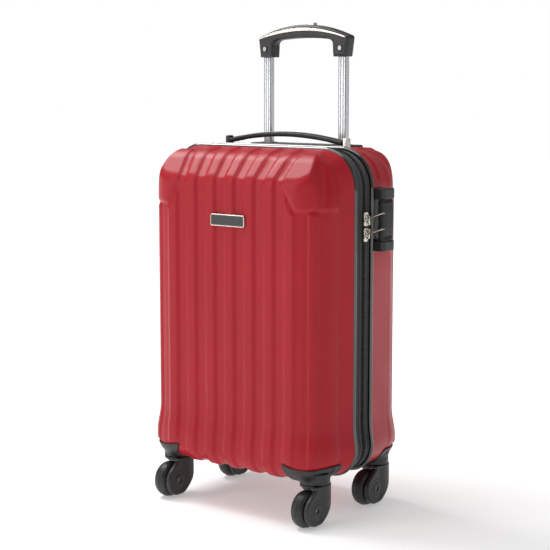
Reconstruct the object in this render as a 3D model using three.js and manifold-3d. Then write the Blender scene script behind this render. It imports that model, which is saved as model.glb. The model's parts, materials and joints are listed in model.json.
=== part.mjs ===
// Cabin suitcase: two fluted hard shells joined by a zipped gusset, a two-stage trolley,
// two carry handles and four swivel casters. Millimetres, +Z up, -Y is the front of the case,
// the origin lies on the floor under the middle of the whole object.
import * as THREE from 'three';
import { mergeVertices } from 'three/addons/utils/BufferGeometryUtils.js';
import Module from 'manifold-3d';

const wasm = await Module();
wasm.setup();

// ---------------------------------------------------------------- driving dimensions
const wheelRadius = 28;
const casterHeadroom = 12;    // from the top of a wheel to the shells' underside
const caseWidth = 350;        // across the rims, left to right
const caseDepth = 224;        // front face to back face, over the flutes
const caseHeight = 482;       // underside to rims
const shellWall = 2.4;
const sideDraft = 8;          // the side walls narrow by this much from rim to corner
const planRadius = 50;        // upright edges, seen from above
const frontViewRadius = 56;   // outline corners, seen from the front
const bottomRadius = 26;      // front and back lower edges
const backTopRadius = 30;     // upper edge of the rear shell
const backTopDrop = 4;        // the rear shell's top falls this much from its rim
const flare = 4;              // the shells widen by this much towards the wheels
const flareTopRise = 80;      // above the underside
const flareBottomRise = 36;
const clearance = 0.3;        // between pieces that touch
const slideClearance = 0.5;   // between pieces that slide or turn in each other

const halfWidth = caseWidth / 2;
const halfDepth = caseDepth / 2;
const shellBottom = 2 * wheelRadius + casterHeadroom;
const shellTop = shellBottom + caseHeight;
const flareTop = shellBottom + flareTopRise;
const flareBottom = shellBottom + flareBottomRise;

// split of the case, front to back
const frontRim = -38;         // Y of the front shell's rim
const rearRim = 10;           // Y of the rear shell's rim
const zipLine = -12;          // Y where the two zip tapes meet
const pipingWidth = 6;
const pipingProud = 1.6;
const pipingRound = 1.5;
const tapeInset = 1.4;        // tape below the shells' outer surface
const tapeThickness = 1.4;
const coilWidth = 2.2;
const coilHeight = 1.5;
const hingeThickness = 1.2;
const liningThickness = 1.2;
const liningGap = 1.0;
const rearTrayDepth = 50;     // packing depth of the rear half behind its rim

// flutes and corner blocks of the shells
const fluteDepth = 3;
const flutePitch = 37.4;
const fluteCrest = 13;        // flat width of a raised band
const fluteFoot = 25;         // width of a raised band at its foot
const flutesPerSide = 3;
const fluteRoot = 44;         // bands start this far behind the recessed face
const frontFluteEnd = 6;      // bands stop this far from the rims
const rearFluteEnd = 40;
const creaseHeight = shellTop - 45;      // front face turns into the sloping top here
const slopeDepth = 30;
const slopeRise = 36;
const blockBottom = creaseHeight - 39;   // smooth raised blocks on the upper front corners
const blockInner = halfWidth - 76;
const blockSlant = 23;
const blockLean = 8;
const blockBack = 46 - halfDepth;

// casters
const casterX = halfWidth - 40;
const casterY = halfDepth - 36;
const wheelWidth = 22;
const wheelBore = 3;
const wheelTrail = 22;        // axle ahead of the swivel axis
const wheelGap = 1.2;
const armThickness = 8.5;
const armRadius = wheelRadius - 2.5;
const forkRadius = 22.4;
const forkTop = shellBottom - 5.6;
const wellClearance = 2.2;
const swivelGap = 0.6;
const swivelPinRadius = 4;
const pinHead = 1.6;          // how far the head stands out round a swivel pin
const axleHead = 2.5;
const hubRadius = 9;
const bracketProud = 2.6;
const bracketTop = shellBottom + 25;
const bracketInner = casterX - 34;       // inner end of a bracket's front wing
const bracketSide = casterY - 20;        // where its side wing ends, from the middle plane

// trolley
const tubeX = 73;
const tubeY = halfDepth - 36;
const innerTube = { width: 16, depth: 10 };
const tubeWall = 1.2;
const tubeCorner = 3.2;
const gripLegBottom = shellTop + 136;    // at the height it is left standing
const innerTubeLength = 320;             // below the grip's legs
const middleTubeLength = 396;
const outerTubeBottom = shellBottom + 24;
const bezelEnd = 28;                     // bezel beyond the middle of a tube
const bezelWidth = innerTube.depth + 24;
const bezelTop = shellTop + 3;
const bezelDepth = 15;
const gripHalfWidth = tubeX + 15;
const gripDepth = innerTube.depth + 11;
const legWidth = innerTube.width + 14;
const gripEndTop = gripLegBottom + 32;
const gripMiddleTop = gripLegBottom + 49;
const bridgeThickness = 20;
const socketDepth = 24;
const screwRise = 13;
const buttonX = 12;
const buttonSize = { x: 15, y: 9, travel: 3 };

// carry handles: size along the case, across it and away from it
const topHandle = {
  y: rearRim + 17, length: 236, width: 18, thickness: 7, rise: 12, tab: 3.2, tabWidth: 7, lift: 3.5,
  capLength: 8, capHeight: 14, capWidth: 13, capRound: 2.4,
};
const sideHandle = {
  y: rearRim + 16, z: shellTop - 103, length: 92, width: 29, thickness: 12, rise: 1, tab: 4.5,
  tabWidth: 18, lift: 3.5, capLength: 15, capHeight: 19, capWidth: 31, capRound: 6,
};

// zip sliders and badge
const upperSliderZ = shellTop - 100;
const sliderSpacing = 23;
const sliderLength = 21;
const sliderWidth = 11;
const pullLength = 31;
const pullTilt = 20;          // degrees above level
const badgeSize = { x: 65, z: 18, y: 3 };
const badgeZ = shellTop - 105;

// ---------------------------------------------------------------- helpers
const X = new THREE.Vector3(1, 0, 0);
const Y = new THREE.Vector3(0, 1, 0);
const Z = new THREE.Vector3(0, 0, 1);

function solid(geometry) {
  const bare = geometry.index ? geometry.toNonIndexed() : geometry.clone();
  bare.deleteAttribute('normal');
  bare.deleteAttribute('uv');
  const merged = mergeVertices(bare, 1e-4);
  return new wasm.Manifold(new wasm.Mesh({
    numProp: 3,
    vertProperties: new Float32Array(merged.attributes.position.array),
    triVerts: new Uint32Array(merged.index.array),
  }));
}

function toGeometry(manifold) {
  const mesh = manifold.getMesh();
  const geometry = new THREE.BufferGeometry();
  geometry.setAttribute('position', new THREE.BufferAttribute(mesh.vertProperties, 3));
  geometry.setIndex(new THREE.BufferAttribute(mesh.triVerts, 1));
  geometry.computeVertexNormals();
  return geometry;
}

// an outline in X and Y, extruded upwards
function prismZ(shape, from, to, options = {}) {
  const settings = { depth: to - from, bevelEnabled: false, curveSegments: 4, ...options };
  return new THREE.ExtrudeGeometry(shape, settings).translate(0, 0, from);
}

// an outline in Y and Z, extruded along X
function prismX(shape, from, to, options = {}) {
  const turn = new THREE.Matrix4().makeBasis(Y, Z, X);
  return prismZ(shape, from, to, options).applyMatrix4(turn);
}

// an outline in X and Z, extruded along Y
function prismY(shape, from, to, options = {}) {
  const turn = new THREE.Matrix4().makeBasis(X, Z, Y.clone().negate());
  return prismZ(shape, -to, -from, options).applyMatrix4(turn);
}

function box(x0, x1, y0, y1, z0, z1) {
  const geometry = new THREE.BoxGeometry(x1 - x0, y1 - y0, z1 - z0);
  return geometry.translate((x0 + x1) / 2, (y0 + y1) / 2, (z0 + z1) / 2);
}

function rod(radius, from, to, axis = 'z', segments = 14) {
  const geometry = new THREE.CylinderGeometry(radius, radius, to - from, segments);
  geometry.translate(0, (from + to) / 2, 0);
  if (axis === 'z') geometry.rotateX(Math.PI / 2);
  if (axis === 'x') geometry.rotateZ(-Math.PI / 2);
  return geometry;
}

function roundRect(width, height, radius, x = 0, y = 0) {
  const shape = new THREE.Shape();
  const right = x + width / 2 - radius;
  const left = x - width / 2 + radius;
  const top = y + height / 2 - radius;
  const bottom = y - height / 2 + radius;
  shape.absarc(right, bottom, radius, -Math.PI / 2, 0);
  shape.absarc(right, top, radius, 0, Math.PI / 2);
  shape.absarc(left, top, radius, Math.PI / 2, Math.PI);
  shape.absarc(left, bottom, radius, Math.PI, 1.5 * Math.PI);
  return shape;
}

function join(...parts) {
  return parts.reduce((sum, part) => sum.add(part));
}

const red = new THREE.MeshStandardMaterial({ color: 0xb02a34, roughness: 0.42, metalness: 0 });
const blackPlastic = new THREE.MeshStandardMaterial({ color: 0x2b2b29, roughness: 0.5, metalness: 0 });
const blackRubber = new THREE.MeshStandardMaterial({ color: 0x242423, roughness: 0.75, metalness: 0 });
const piping = new THREE.MeshStandardMaterial({ color: 0x1c1c1c, roughness: 0.2, metalness: 0 });
const fabric = new THREE.MeshStandardMaterial({ color: 0x282826, roughness: 0.9, metalness: 0 });
const lining = new THREE.MeshStandardMaterial({ color: 0x55575a, roughness: 0.9, metalness: 0 });
const aluminium = new THREE.MeshStandardMaterial({ color: 0xcfd0d2, roughness: 0.3, metalness: 1 });
const nickel = new THREE.MeshStandardMaterial({ color: 0xcdc6bb, roughness: 0.22, metalness: 1 });
const steel = new THREE.MeshStandardMaterial({ color: 0x9a9a98, roughness: 0.35, metalness: 1 });

const suitcase = new THREE.Group();

function add(name, shape, material) {
  const geometry = shape.isBufferGeometry ? shape : toGeometry(shape);
  const mesh = new THREE.Mesh(geometry, material);
  mesh.name = name;
  suitcase.add(mesh);
  return mesh;
}

// ---------------------------------------------------------------- shell forms
// Each half is one form, grown or shrunk by a distance: the walls, linings, brackets and seats
// all come from it. side is -1 for the front half and 1 for the rear half.
const faceY = halfDepth - fluteDepth;
const far = 1000;             // beyond everything
const openEnd = 5;            // a cutting form runs this far past the rim

// the case seen from the front
function caseOutline(grow) {
  const shape = new THREE.Shape();
  const w = halfWidth + grow;
  const foot = w + flare;
  const top = shellTop + grow;
  const bottom = shellBottom - grow;
  const r = frontViewRadius + grow;
  shape.moveTo(-foot + r, bottom);
  shape.lineTo(foot - r, bottom);
  shape.quadraticCurveTo(foot - 2, bottom + 2, foot, bottom + 0.64 * r);
  shape.lineTo(w, flareTop);
  shape.absarc(w - r, top - r, r, 0, Math.PI / 2);
  shape.absarc(-w + r, top - r, r, Math.PI / 2, Math.PI);
  shape.lineTo(-w, flareTop);
  shape.lineTo(-foot, bottom + 0.64 * r);
  shape.quadraticCurveTo(-foot + 2, bottom + 2, -foot + r, bottom);
  return shape;
}

// one half seen from above
function planOutline(side, grow, open) {
  const shape = new THREE.Shape();
  const rim = side < 0 ? frontRim : rearRim;
  const mouth = rim - side * open;
  const w = halfWidth + grow;
  const corner = w - sideDraft;
  const r = planRadius + grow;
  const face = side * (faceY + grow);
  const turn = side * Math.PI / 2;
  shape.moveTo(-w, mouth);
  shape.lineTo(-w, rim);
  shape.lineTo(-corner, face - side * r);
  shape.absarc(-corner + r, face - side * r, r, Math.PI, turn, side > 0);
  shape.absarc(corner - r, face - side * r, r, turn, 0, side > 0);
  shape.lineTo(w, rim);
  shape.lineTo(w, mouth);
  return shape;
}

// one half seen from the side
function sideOutline(side, grow, open) {
  const shape = new THREE.Shape();
  const rim = side < 0 ? frontRim : rearRim;
  const mouth = rim - side * open;
  const face = side * (faceY + grow);
  const foot = face + side * flare;
  const bottom = shellBottom - grow;
  const top = shellTop + grow;
  const rb = bottomRadius + grow;
  shape.moveTo(mouth, top);
  shape.lineTo(mouth, bottom);
  const start = -Math.PI / 2;
  shape.absarc(foot - side * rb, bottom + rb, rb, start, side > 0 ? 0 : -Math.PI, side < 0);
  shape.lineTo(foot, flareBottom);
  shape.lineTo(face, flareTop);
  if (side < 0) {
    const lean = 0.45 * grow;
    shape.lineTo(face, creaseHeight + lean);
    shape.lineTo(face + slopeDepth - lean, creaseHeight + slopeRise + grow);
  } else {
    const rt = backTopRadius + grow;
    shape.absarc(face - rt, top - backTopDrop - rt, rt, 0, Math.PI / 2);
  }
  shape.lineTo(rim, top);
  return shape;
}

function form(side, grow, open = 0) {
  const plan = planOutline(side, grow, open);
  const upper = solid(prismZ(plan, shellBottom - far, shellTop + far));
  const skirtMiddle = flareBottom - shellBottom + far;
  const skirt = solid(prismZ(plan, flareBottom - skirtMiddle, flareBottom, {
    bevelEnabled: true, bevelThickness: flareTop - flareBottom, bevelSize: flare, bevelSegments: 1,
  }));
  const rim = side < 0 ? frontRim : rearRim;
  const edge = rim - side * open;
  const span = side < 0 ? [-far, edge] : [edge, far];
  const front = solid(prismY(caseOutline(grow), ...span));
  const profile = solid(prismX(sideOutline(side, grow, open), -far, far));
  return upper.add(skirt).intersect(front).intersect(profile);
}

// one raised band: a trapezoid seen from above, on the front or the back face
function fluteBand(side, x) {
  const shape = new THREE.Shape();
  const foot = side * faceY;
  const crest = side * (faceY + fluteDepth);
  const over = side * (faceY + fluteDepth + flare + 1);
  shape.moveTo(x - fluteFoot / 2, side * (faceY - fluteRoot));
  shape.lineTo(x - fluteFoot / 2, foot);
  shape.lineTo(x - fluteCrest / 2, crest);
  shape.lineTo(x - fluteCrest / 2, over);
  shape.lineTo(x + fluteCrest / 2, over);
  shape.lineTo(x + fluteCrest / 2, crest);
  shape.lineTo(x + fluteFoot / 2, foot);
  shape.lineTo(x + fluteFoot / 2, side * (faceY - fluteRoot));
  return solid(prismZ(shape, shellBottom + 4, shellTop));
}

function cornerBlock(hand) {
  const shape = new THREE.Shape();
  shape.moveTo(hand * blockInner, creaseHeight);
  shape.lineTo(hand * (blockInner + blockSlant), blockBottom);
  shape.lineTo(hand * (halfWidth + fluteDepth), blockBottom);
  shape.lineTo(hand * (halfWidth + fluteDepth), shellTop);
  shape.lineTo(hand * (blockInner + blockLean), shellTop);
  return solid(prismY(shape, -far, blockBack));
}

// where the caster brackets lie, so that nothing raised grows under them
function bracketZone(side, hand, grow) {
  const front = new THREE.Shape();
  front.moveTo(hand * (bracketInner + 9 - grow), -far);
  front.lineTo(hand * (bracketInner - grow), bracketTop + grow);
  front.quadraticCurveTo(hand * casterX, bracketTop - 6 + grow, hand * far / 5, bracketTop + 4 + grow);
  front.lineTo(hand * far / 5, -far);
  const reach = solid(prismY(front, -far, far));
  const outside = side < 0 ? [-far, -bracketSide + grow] : [bracketSide - grow, far];
  return reach.intersect(solid(box(-far, far, ...outside, -far, far)));
}

// the flat seat of the trolley bezel on the rear shell
function bezelSeat() {
  const half = tubeX + bezelEnd + 1;
  return solid(box(-half, half, tubeY - bezelWidth / 2 - 1, tubeY + bezelWidth / 2 + 1,
    shellTop - 30, shellTop + 20));
}

function shell(side) {
  const bands = [];
  for (let i = -flutesPerSide; i <= flutesPerSide; i += 1) {
    bands.push(fluteBand(side, i * flutePitch));
  }
  if (side < 0) bands.push(cornerBlock(-1), cornerBlock(1));
  let raised = join(...bands);
  for (const hand of [-1, 1]) raised = raised.subtract(bracketZone(side, hand, 1));
  if (side > 0) raised = raised.subtract(bezelSeat());
  const reach = side < 0 ? [-far, frontRim - frontFluteEnd] : [rearRim + rearFluteEnd, far];
  const within = solid(box(-far, far, ...reach, -far, far));
  const outer = form(side, 0).add(form(side, fluteDepth).intersect(raised).intersect(within));
  return outer.subtract(form(side, -shellWall, openEnd));
}

// ---------------------------------------------------------------- trolley sizes
const stage = (size, outwards) => ({
  width: size.width + 2 * outwards,
  depth: size.depth + 2 * outwards,
  radius: tubeCorner + outwards,
});
const stageStep = tubeWall + slideClearance;
const innerSize = stage(innerTube, 0);
const middleSize = stage(innerTube, stageStep);
const outerSize = stage(innerTube, 2 * stageStep);
const bezelHole = stage(innerTube, stageStep + slideClearance);

function tube(size, x, from, to) {
  const outline = roundRect(size.width, size.depth, size.radius, x, tubeY);
  const bore = [size.width - 2 * tubeWall, size.depth - 2 * tubeWall, size.radius - tubeWall];
  outline.holes.push(roundRect(...bore, x, tubeY));
  return prismZ(outline, from, to, { curveSegments: 2 });
}

function tubeCore(size, x, from, to) {
  const outline = roundRect(size.width, size.depth, size.radius, x, tubeY);
  return solid(prismZ(outline, from, to, { curveSegments: 2 }));
}

// ---------------------------------------------------------------- shells and linings
const rearTop = shellTop + 1;
let rearShell = shell(1);
for (const hand of [-1, 1]) {
  const passage = stage(innerTube, 2 * stageStep + clearance);
  rearShell = rearShell.subtract(tubeCore(passage, hand * tubeX, shellTop - 40, rearTop + 5));
}
add('rear_shell', rearShell, red);
add('front_shell', shell(-1), red);

const liningOuter = -shellWall - liningGap;
const liningInner = liningOuter - liningThickness;
add('front_lining', form(-1, liningOuter).subtract(form(-1, liningInner, openEnd)), lining);
const trayBack = rearRim + rearTrayDepth;
const rearTrayOuter = form(1, liningOuter).intersect(solid(box(-far, far, -far, trayBack, -far, far)));
const rearTrayInner = form(1, liningInner, openEnd)
  .intersect(solid(box(-far, far, -far, trayBack - liningThickness, -far, far)));
add('rear_lining', rearTrayOuter.subtract(rearTrayInner), lining);

// ---------------------------------------------------------------- gusset, zip and piping
function ring(outerGrow, innerGrow, from, to, options = {}) {
  const outline = caseOutline(outerGrow);
  outline.holes.push(caseOutline(innerGrow));
  return prismY(outline, from, to, { curveSegments: 3, ...options });
}

const pipingBevel = {
  bevelEnabled: true, bevelThickness: pipingRound, bevelSize: pipingRound, bevelSegments: 1,
};
const pipingRing = (from) => ring(pipingProud - pipingRound, -shellWall,
  from + pipingRound, from + pipingWidth - pipingRound, pipingBevel);
const tapeOuter = -tapeInset;
const tapeInner = tapeOuter - tapeThickness;
const frontPipingStart = frontRim + clearance;
const rearPipingStart = rearRim - clearance - pipingWidth;
add('front_piping', pipingRing(frontPipingStart), piping);
add('rear_piping', pipingRing(rearPipingStart), piping);
add('zip_tape_front', ring(tapeOuter, tapeInner,
  frontPipingStart + pipingWidth + clearance, zipLine - clearance / 2), fabric);
add('zip_tape_rear', ring(tapeOuter, tapeInner,
  zipLine + clearance / 2, rearPipingStart - clearance), fabric);

// the zip runs round the top, the right side and the underside; the left side is the hinge
const hingeBottom = flareTop + 6;
const hingeTop = shellTop - frontViewRadius - 10;
function coil(from, to) {
  const full = solid(ring(tapeOuter + clearance + coilHeight, tapeOuter + clearance, from, to));
  return full.subtract(solid(box(-far, 0, -far, far, hingeBottom - 4, hingeTop + 4)));
}
add('zip_coil_front', coil(zipLine - clearance / 2 - coilWidth, zipLine - clearance / 2), blackPlastic);
add('zip_coil_rear', coil(zipLine + clearance / 2, zipLine + clearance / 2 + coilWidth), blackPlastic);
const hingeFace = -halfWidth + tapeInset - clearance;
add('hinge_strip', box(hingeFace - hingeThickness, hingeFace, zipLine + clearance / 2, rearPipingStart - 2 * clearance,
  hingeBottom, hingeTop), fabric);

// zip sliders stand on the rear coil's line, each with a pull on its bridge
const coilFace = halfWidth - tapeInset + clearance + coilHeight;
const sliderFace = coilFace + clearance;
const sliderBody = 3;
const bridgeHeight = 6;
const pivotX = sliderFace + sliderBody + bridgeHeight / 2;
const eyeBar = 1.2;
const eyeReach = 7;
const pullWidth = 8;
for (const [name, z, hand] of [['upper', upperSliderZ, 1], ['lower', upperSliderZ - sliderSpacing, -1]]) {
  const plate = solid(prismX(roundRect(sliderWidth, sliderLength, 4, zipLine, z),
    sliderFace, sliderFace + sliderBody, { curveSegments: 3 }));
  const bridge = new THREE.Shape();
  bridge.moveTo(sliderFace + sliderBody - 0.5, z - 6);
  bridge.lineTo(pivotX + 2.2, z - 4);
  bridge.lineTo(pivotX + 2.2, z + 4);
  bridge.lineTo(sliderFace + sliderBody - 0.5, z + 6);
  const bridgeSolid = solid(prismY(bridge, zipLine - 1.5, zipLine + 1.5));
  const eye = solid(box(sliderFace + sliderBody, pivotX + 0.7, zipLine - 5, zipLine + 5, z - 2.4, z + 2.4));
  const lockEar = solid(box(sliderFace, pivotX + 1.5, zipLine + 2.5, zipLine + 5,
    z - hand * 6 - 3, z - hand * 6 + 3));
  add(`${name}_zip_slider`, join(plate, bridgeSolid.subtract(eye), lockEar), nickel);

  const pull = roundRect(pullLength + eyeBar, pullWidth, 3, (pullLength - eyeBar) / 2 - 0.2, 0);
  pull.holes.push(roundRect(eyeReach, 5, 1, eyeReach / 2 - 0.2, 0));
  const geometry = prismZ(pull, -0.5, 0.5, { curveSegments: 3 });
  geometry.rotateY(-THREE.MathUtils.degToRad(pullTilt)).translate(pivotX - 1, zipLine, z);
  add(`${name}_zip_pull`, geometry, nickel);
}

// ---------------------------------------------------------------- casters
function wheelProfile() {
  const half = wheelWidth / 2;
  const points = [
    [wheelBore + slideClearance, -half], [wheelRadius * 0.44, -half], [wheelRadius * 0.5, -half + 1.6],
    [wheelRadius * 0.72, -half], [wheelRadius - 3, -half], [wheelRadius, -half + 5],
  ];
  const mirrored = points.slice().reverse().map(([r, x]) => [r, -x]);
  const all = [...points, ...mirrored, points[0]];
  return all.map(([r, x]) => new THREE.Vector2(r, x));
}

function forkShape() {
  const plan = new THREE.Shape();
  const arm = wheelWidth / 2 + wheelGap;
  const tip = -wheelTrail - armRadius;
  plan.moveTo(arm, tip);
  plan.lineTo(arm + armThickness - 3, tip);
  plan.quadraticCurveTo(arm + armThickness, tip, arm + armThickness, tip + 6);
  plan.lineTo(arm + armThickness, -8);
  plan.absarc(0, 0, forkRadius, -0.36, Math.PI * 1.5);
  plan.lineTo(arm, -forkRadius);
  const profile = new THREE.Shape();
  profile.moveTo(-wheelTrail, wheelRadius - armRadius);
  profile.absarc(-wheelTrail, wheelRadius, armRadius, -Math.PI / 2, -1.25 * Math.PI, true);
  profile.lineTo(-forkRadius, forkTop - 10);
  profile.lineTo(-forkRadius, forkTop);
  profile.lineTo(forkRadius, forkTop);
  profile.lineTo(forkRadius, wheelRadius + 21);
  profile.bezierCurveTo(forkRadius, wheelRadius - 8, 2, wheelRadius - armRadius,
    -wheelTrail, wheelRadius - armRadius);
  const well = solid(rod(wheelRadius + wellClearance, -forkRadius - 5, arm, 'x', 28)
    .translate(0, -wheelTrail, wheelRadius));
  const hub = solid(rod(hubRadius, arm + 1, arm + armThickness + 1, 'x').translate(0, -wheelTrail, wheelRadius));
  const axleBore = solid(rod(wheelBore + clearance, arm - 1, arm + armThickness + 3, 'x')
    .translate(0, -wheelTrail, wheelRadius));
  const headBore = solid(rod(swivelPinRadius + pinHead + slideClearance, shellBottom - 38, forkTop - 7.5));
  const pinBore = solid(rod(swivelPinRadius + clearance, shellBottom - 38, forkTop + 5)).add(headBore);
  const body = solid(prismZ(plan, 0, forkTop + 1, { curveSegments: 12 }))
    .intersect(solid(prismX(profile, -far, far, { curveSegments: 5 })));
  const hoodEdge = solid(box(-far, arm, -far, far, -far, wheelRadius + 7));
  return body.subtract(well).subtract(hoodEdge).add(hub).subtract(axleBore).subtract(pinBore);
}

function bracket(side, hand) {
  const housing = solid(rod(forkRadius, forkTop + swivelGap, shellBottom + 14, 'z', 28)
    .translate(hand * casterX, side * casterY, 0));
  const wrap = form(side, bracketProud).intersect(bracketZone(side, hand, 0));
  const pinBore = solid(rod(swivelPinRadius + clearance, shellBottom - 28, shellBottom + 20)
    .translate(hand * casterX, side * casterY, 0));
  return wrap.add(housing).subtract(form(side, clearance, 30)).subtract(pinBore);
}

const wheelLathe = new THREE.LatheGeometry(wheelProfile(), 24).rotateZ(-Math.PI / 2);
const forkSolid = forkShape();
for (const side of [-1, 1]) {
  for (const hand of [-1, 1]) {
    const place = `${side < 0 ? 'front' : 'rear'}_${hand < 0 ? 'left' : 'right'}`;
    const [x, y] = [hand * casterX, side * casterY];
    add(`caster_bracket_${place}`, bracket(side, hand), blackPlastic);
    add(`caster_fork_${place}`, toGeometry(forkSolid).translate(x, y, 0), blackPlastic);
    add(`wheel_${place}`, wheelLathe.clone().translate(x, y - wheelTrail, wheelRadius), blackRubber);
    const armOuter = wheelWidth / 2 + wheelGap + armThickness;
    const axle = solid(rod(wheelBore, -wheelWidth / 2 - 1.5, armOuter - 1, 'x'))
      .add(solid(rod(wheelBore + axleHead, -wheelWidth / 2 - 2.6, -wheelWidth / 2 - 0.6, 'x')));
    add(`wheel_axle_${place}`, toGeometry(axle).translate(x, y - wheelTrail, wheelRadius), steel);
    const pinTop = shellBottom - clearance - 1;
    const pin = solid(rod(swivelPinRadius, forkTop - 9, pinTop))
      .add(solid(rod(swivelPinRadius + pinHead, forkTop - 10.5, forkTop - 8)));
    add(`swivel_pin_${place}`, toGeometry(pin).translate(x, y, 0), steel);
  }
}

// ---------------------------------------------------------------- trolley
const bezelBottom = bezelTop - bezelDepth;
let bezel = solid(prismZ(roundRect(2 * (tubeX + bezelEnd), bezelWidth, 7, 0, tubeY), bezelBottom, bezelTop))
  .subtract(form(1, clearance, 30));
let foot = solid(box(-tubeX - 22, tubeX + 22, tubeY - 15, tubeY + 15, outerTubeBottom - 14, outerTubeBottom + 10))
  .subtract(solid(box(-tubeX + 22, tubeX - 22, -far, far, outerTubeBottom - 8, far)));
for (const hand of [-1, 1]) {
  const x = hand * tubeX;
  bezel = bezel.subtract(tubeCore(bezelHole, x, shellTop - 20, bezelTop + 5));
  foot = foot.subtract(tubeCore(stage(innerTube, 2 * stageStep + clearance), x, outerTubeBottom - clearance, far));
}
add('trolley_bezel', bezel, blackPlastic);
add('trolley_foot', foot, blackPlastic);

// the grip: two legs and an arched bridge, drawn from the front
const legInner = gripHalfWidth - legWidth;
const archRise = gripMiddleTop - gripEndTop;
function gripOutline() {
  const shape = new THREE.Shape();
  const under = gripMiddleTop - bridgeThickness;
  shape.moveTo(-gripHalfWidth + 4, gripLegBottom);
  shape.lineTo(-legInner, gripLegBottom);
  shape.lineTo(-legInner + 1, gripLegBottom + 14);
  shape.quadraticCurveTo(-legInner + 1, under - 3, -legInner + 14, under - 2);
  shape.quadraticCurveTo(0, under + 2, legInner - 14, under - 2);
  shape.quadraticCurveTo(legInner - 1, under - 3, legInner - 1, gripLegBottom + 14);
  shape.lineTo(legInner, gripLegBottom);
  shape.lineTo(gripHalfWidth - 4, gripLegBottom);
  shape.lineTo(gripHalfWidth, gripEndTop - 3);
  shape.quadraticCurveTo(gripHalfWidth, gripEndTop, gripHalfWidth - 4, gripEndTop + 1);
  shape.quadraticCurveTo(0, gripMiddleTop + archRise, -gripHalfWidth + 4, gripEndTop + 1);
  shape.quadraticCurveTo(-gripHalfWidth, gripEndTop, -gripHalfWidth, gripEndTop - 3);
  return shape;
}

const gripFront = tubeY - gripDepth / 2;
const gripBack = tubeY + gripDepth / 2;
const gripBevel = { bevelEnabled: true, bevelThickness: 3, bevelSize: 2, bevelOffset: -2, bevelSegments: 1 };
let grip = solid(prismY(gripOutline(), gripFront + 3, gripBack - 3, { ...gripBevel, curveSegments: 5 }));
const socketTop = gripLegBottom + socketDepth;
const screwHeight = gripLegBottom + screwRise;
for (const hand of [-1, 1]) {
  grip = grip.subtract(tubeCore(stage(innerTube, clearance), hand * tubeX, gripLegBottom - 5, socketTop));
  grip = grip.subtract(solid(rod(2.2, -far, gripFront + 3.2, 'y').translate(hand * tubeX, 0, screwHeight)));
}

// a bright crescent let into the front of the grip
const crescent = new THREE.Shape();
crescent.moveTo(-gripHalfWidth + 3, gripEndTop - 4);
crescent.quadraticCurveTo(0, gripMiddleTop - 5, gripHalfWidth - 6, gripEndTop - 4);
crescent.lineTo(gripHalfWidth - 6, gripEndTop - 1.5);
crescent.quadraticCurveTo(0, gripMiddleTop + archRise - 6, -gripHalfWidth + 3, gripEndTop - 1.5);
const trimDepth = 1.4;
const trim = prismY(crescent, gripFront - 0.4, gripFront + trimDepth, { curveSegments: 5 });
grip = grip.subtract(solid(prismY(crescent, gripFront - 5, gripFront + trimDepth + clearance,
  { bevelEnabled: true, bevelThickness: clearance, bevelSize: clearance, bevelSegments: 1, curveSegments: 5 })));

// the release button stands in a pocket on top and pushes a rod in each tube
const buttonTop = gripMiddleTop + 3.4;
const pocketBottom = gripMiddleTop - 8;
const buttonBox = (grow, from, to) => solid(prismZ(roundRect(buttonSize.x + 2 * grow,
  buttonSize.y + 2 * grow, 2.5 + grow, buttonX, tubeY), from, to));
grip = grip.subtract(buttonBox(slideClearance, pocketBottom, gripMiddleTop + 20));
add('grip', grip, blackPlastic);
add('grip_trim', trim, nickel);
add('release_button', buttonBox(0, pocketBottom + buttonSize.travel + slideClearance, buttonTop), nickel);

for (const hand of [-1, 1]) {
  const word = hand < 0 ? 'left' : 'right';
  const x = hand * tubeX;
  add(`tube_inner_${word}`, tube(innerSize, x, gripLegBottom - innerTubeLength, socketTop - clearance), aluminium);
  add(`tube_middle_${word}`, tube(middleSize, x, bezelTop - 0.5 - middleTubeLength, bezelTop - 0.5), aluminium);
  add(`tube_outer_${word}`, tube(outerSize, x, outerTubeBottom, bezelBottom - clearance), aluminium);
  const head = solid(rod(3.4, gripFront - 1.2, gripFront - clearance / 2, 'y'));
  const shank = solid(rod(1.9, gripFront - 0.5, gripFront + 2.8, 'y'));
  add(`grip_screw_${word}`, toGeometry(head.add(shank)).translate(x, 0, screwHeight), steel);
}

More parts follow.
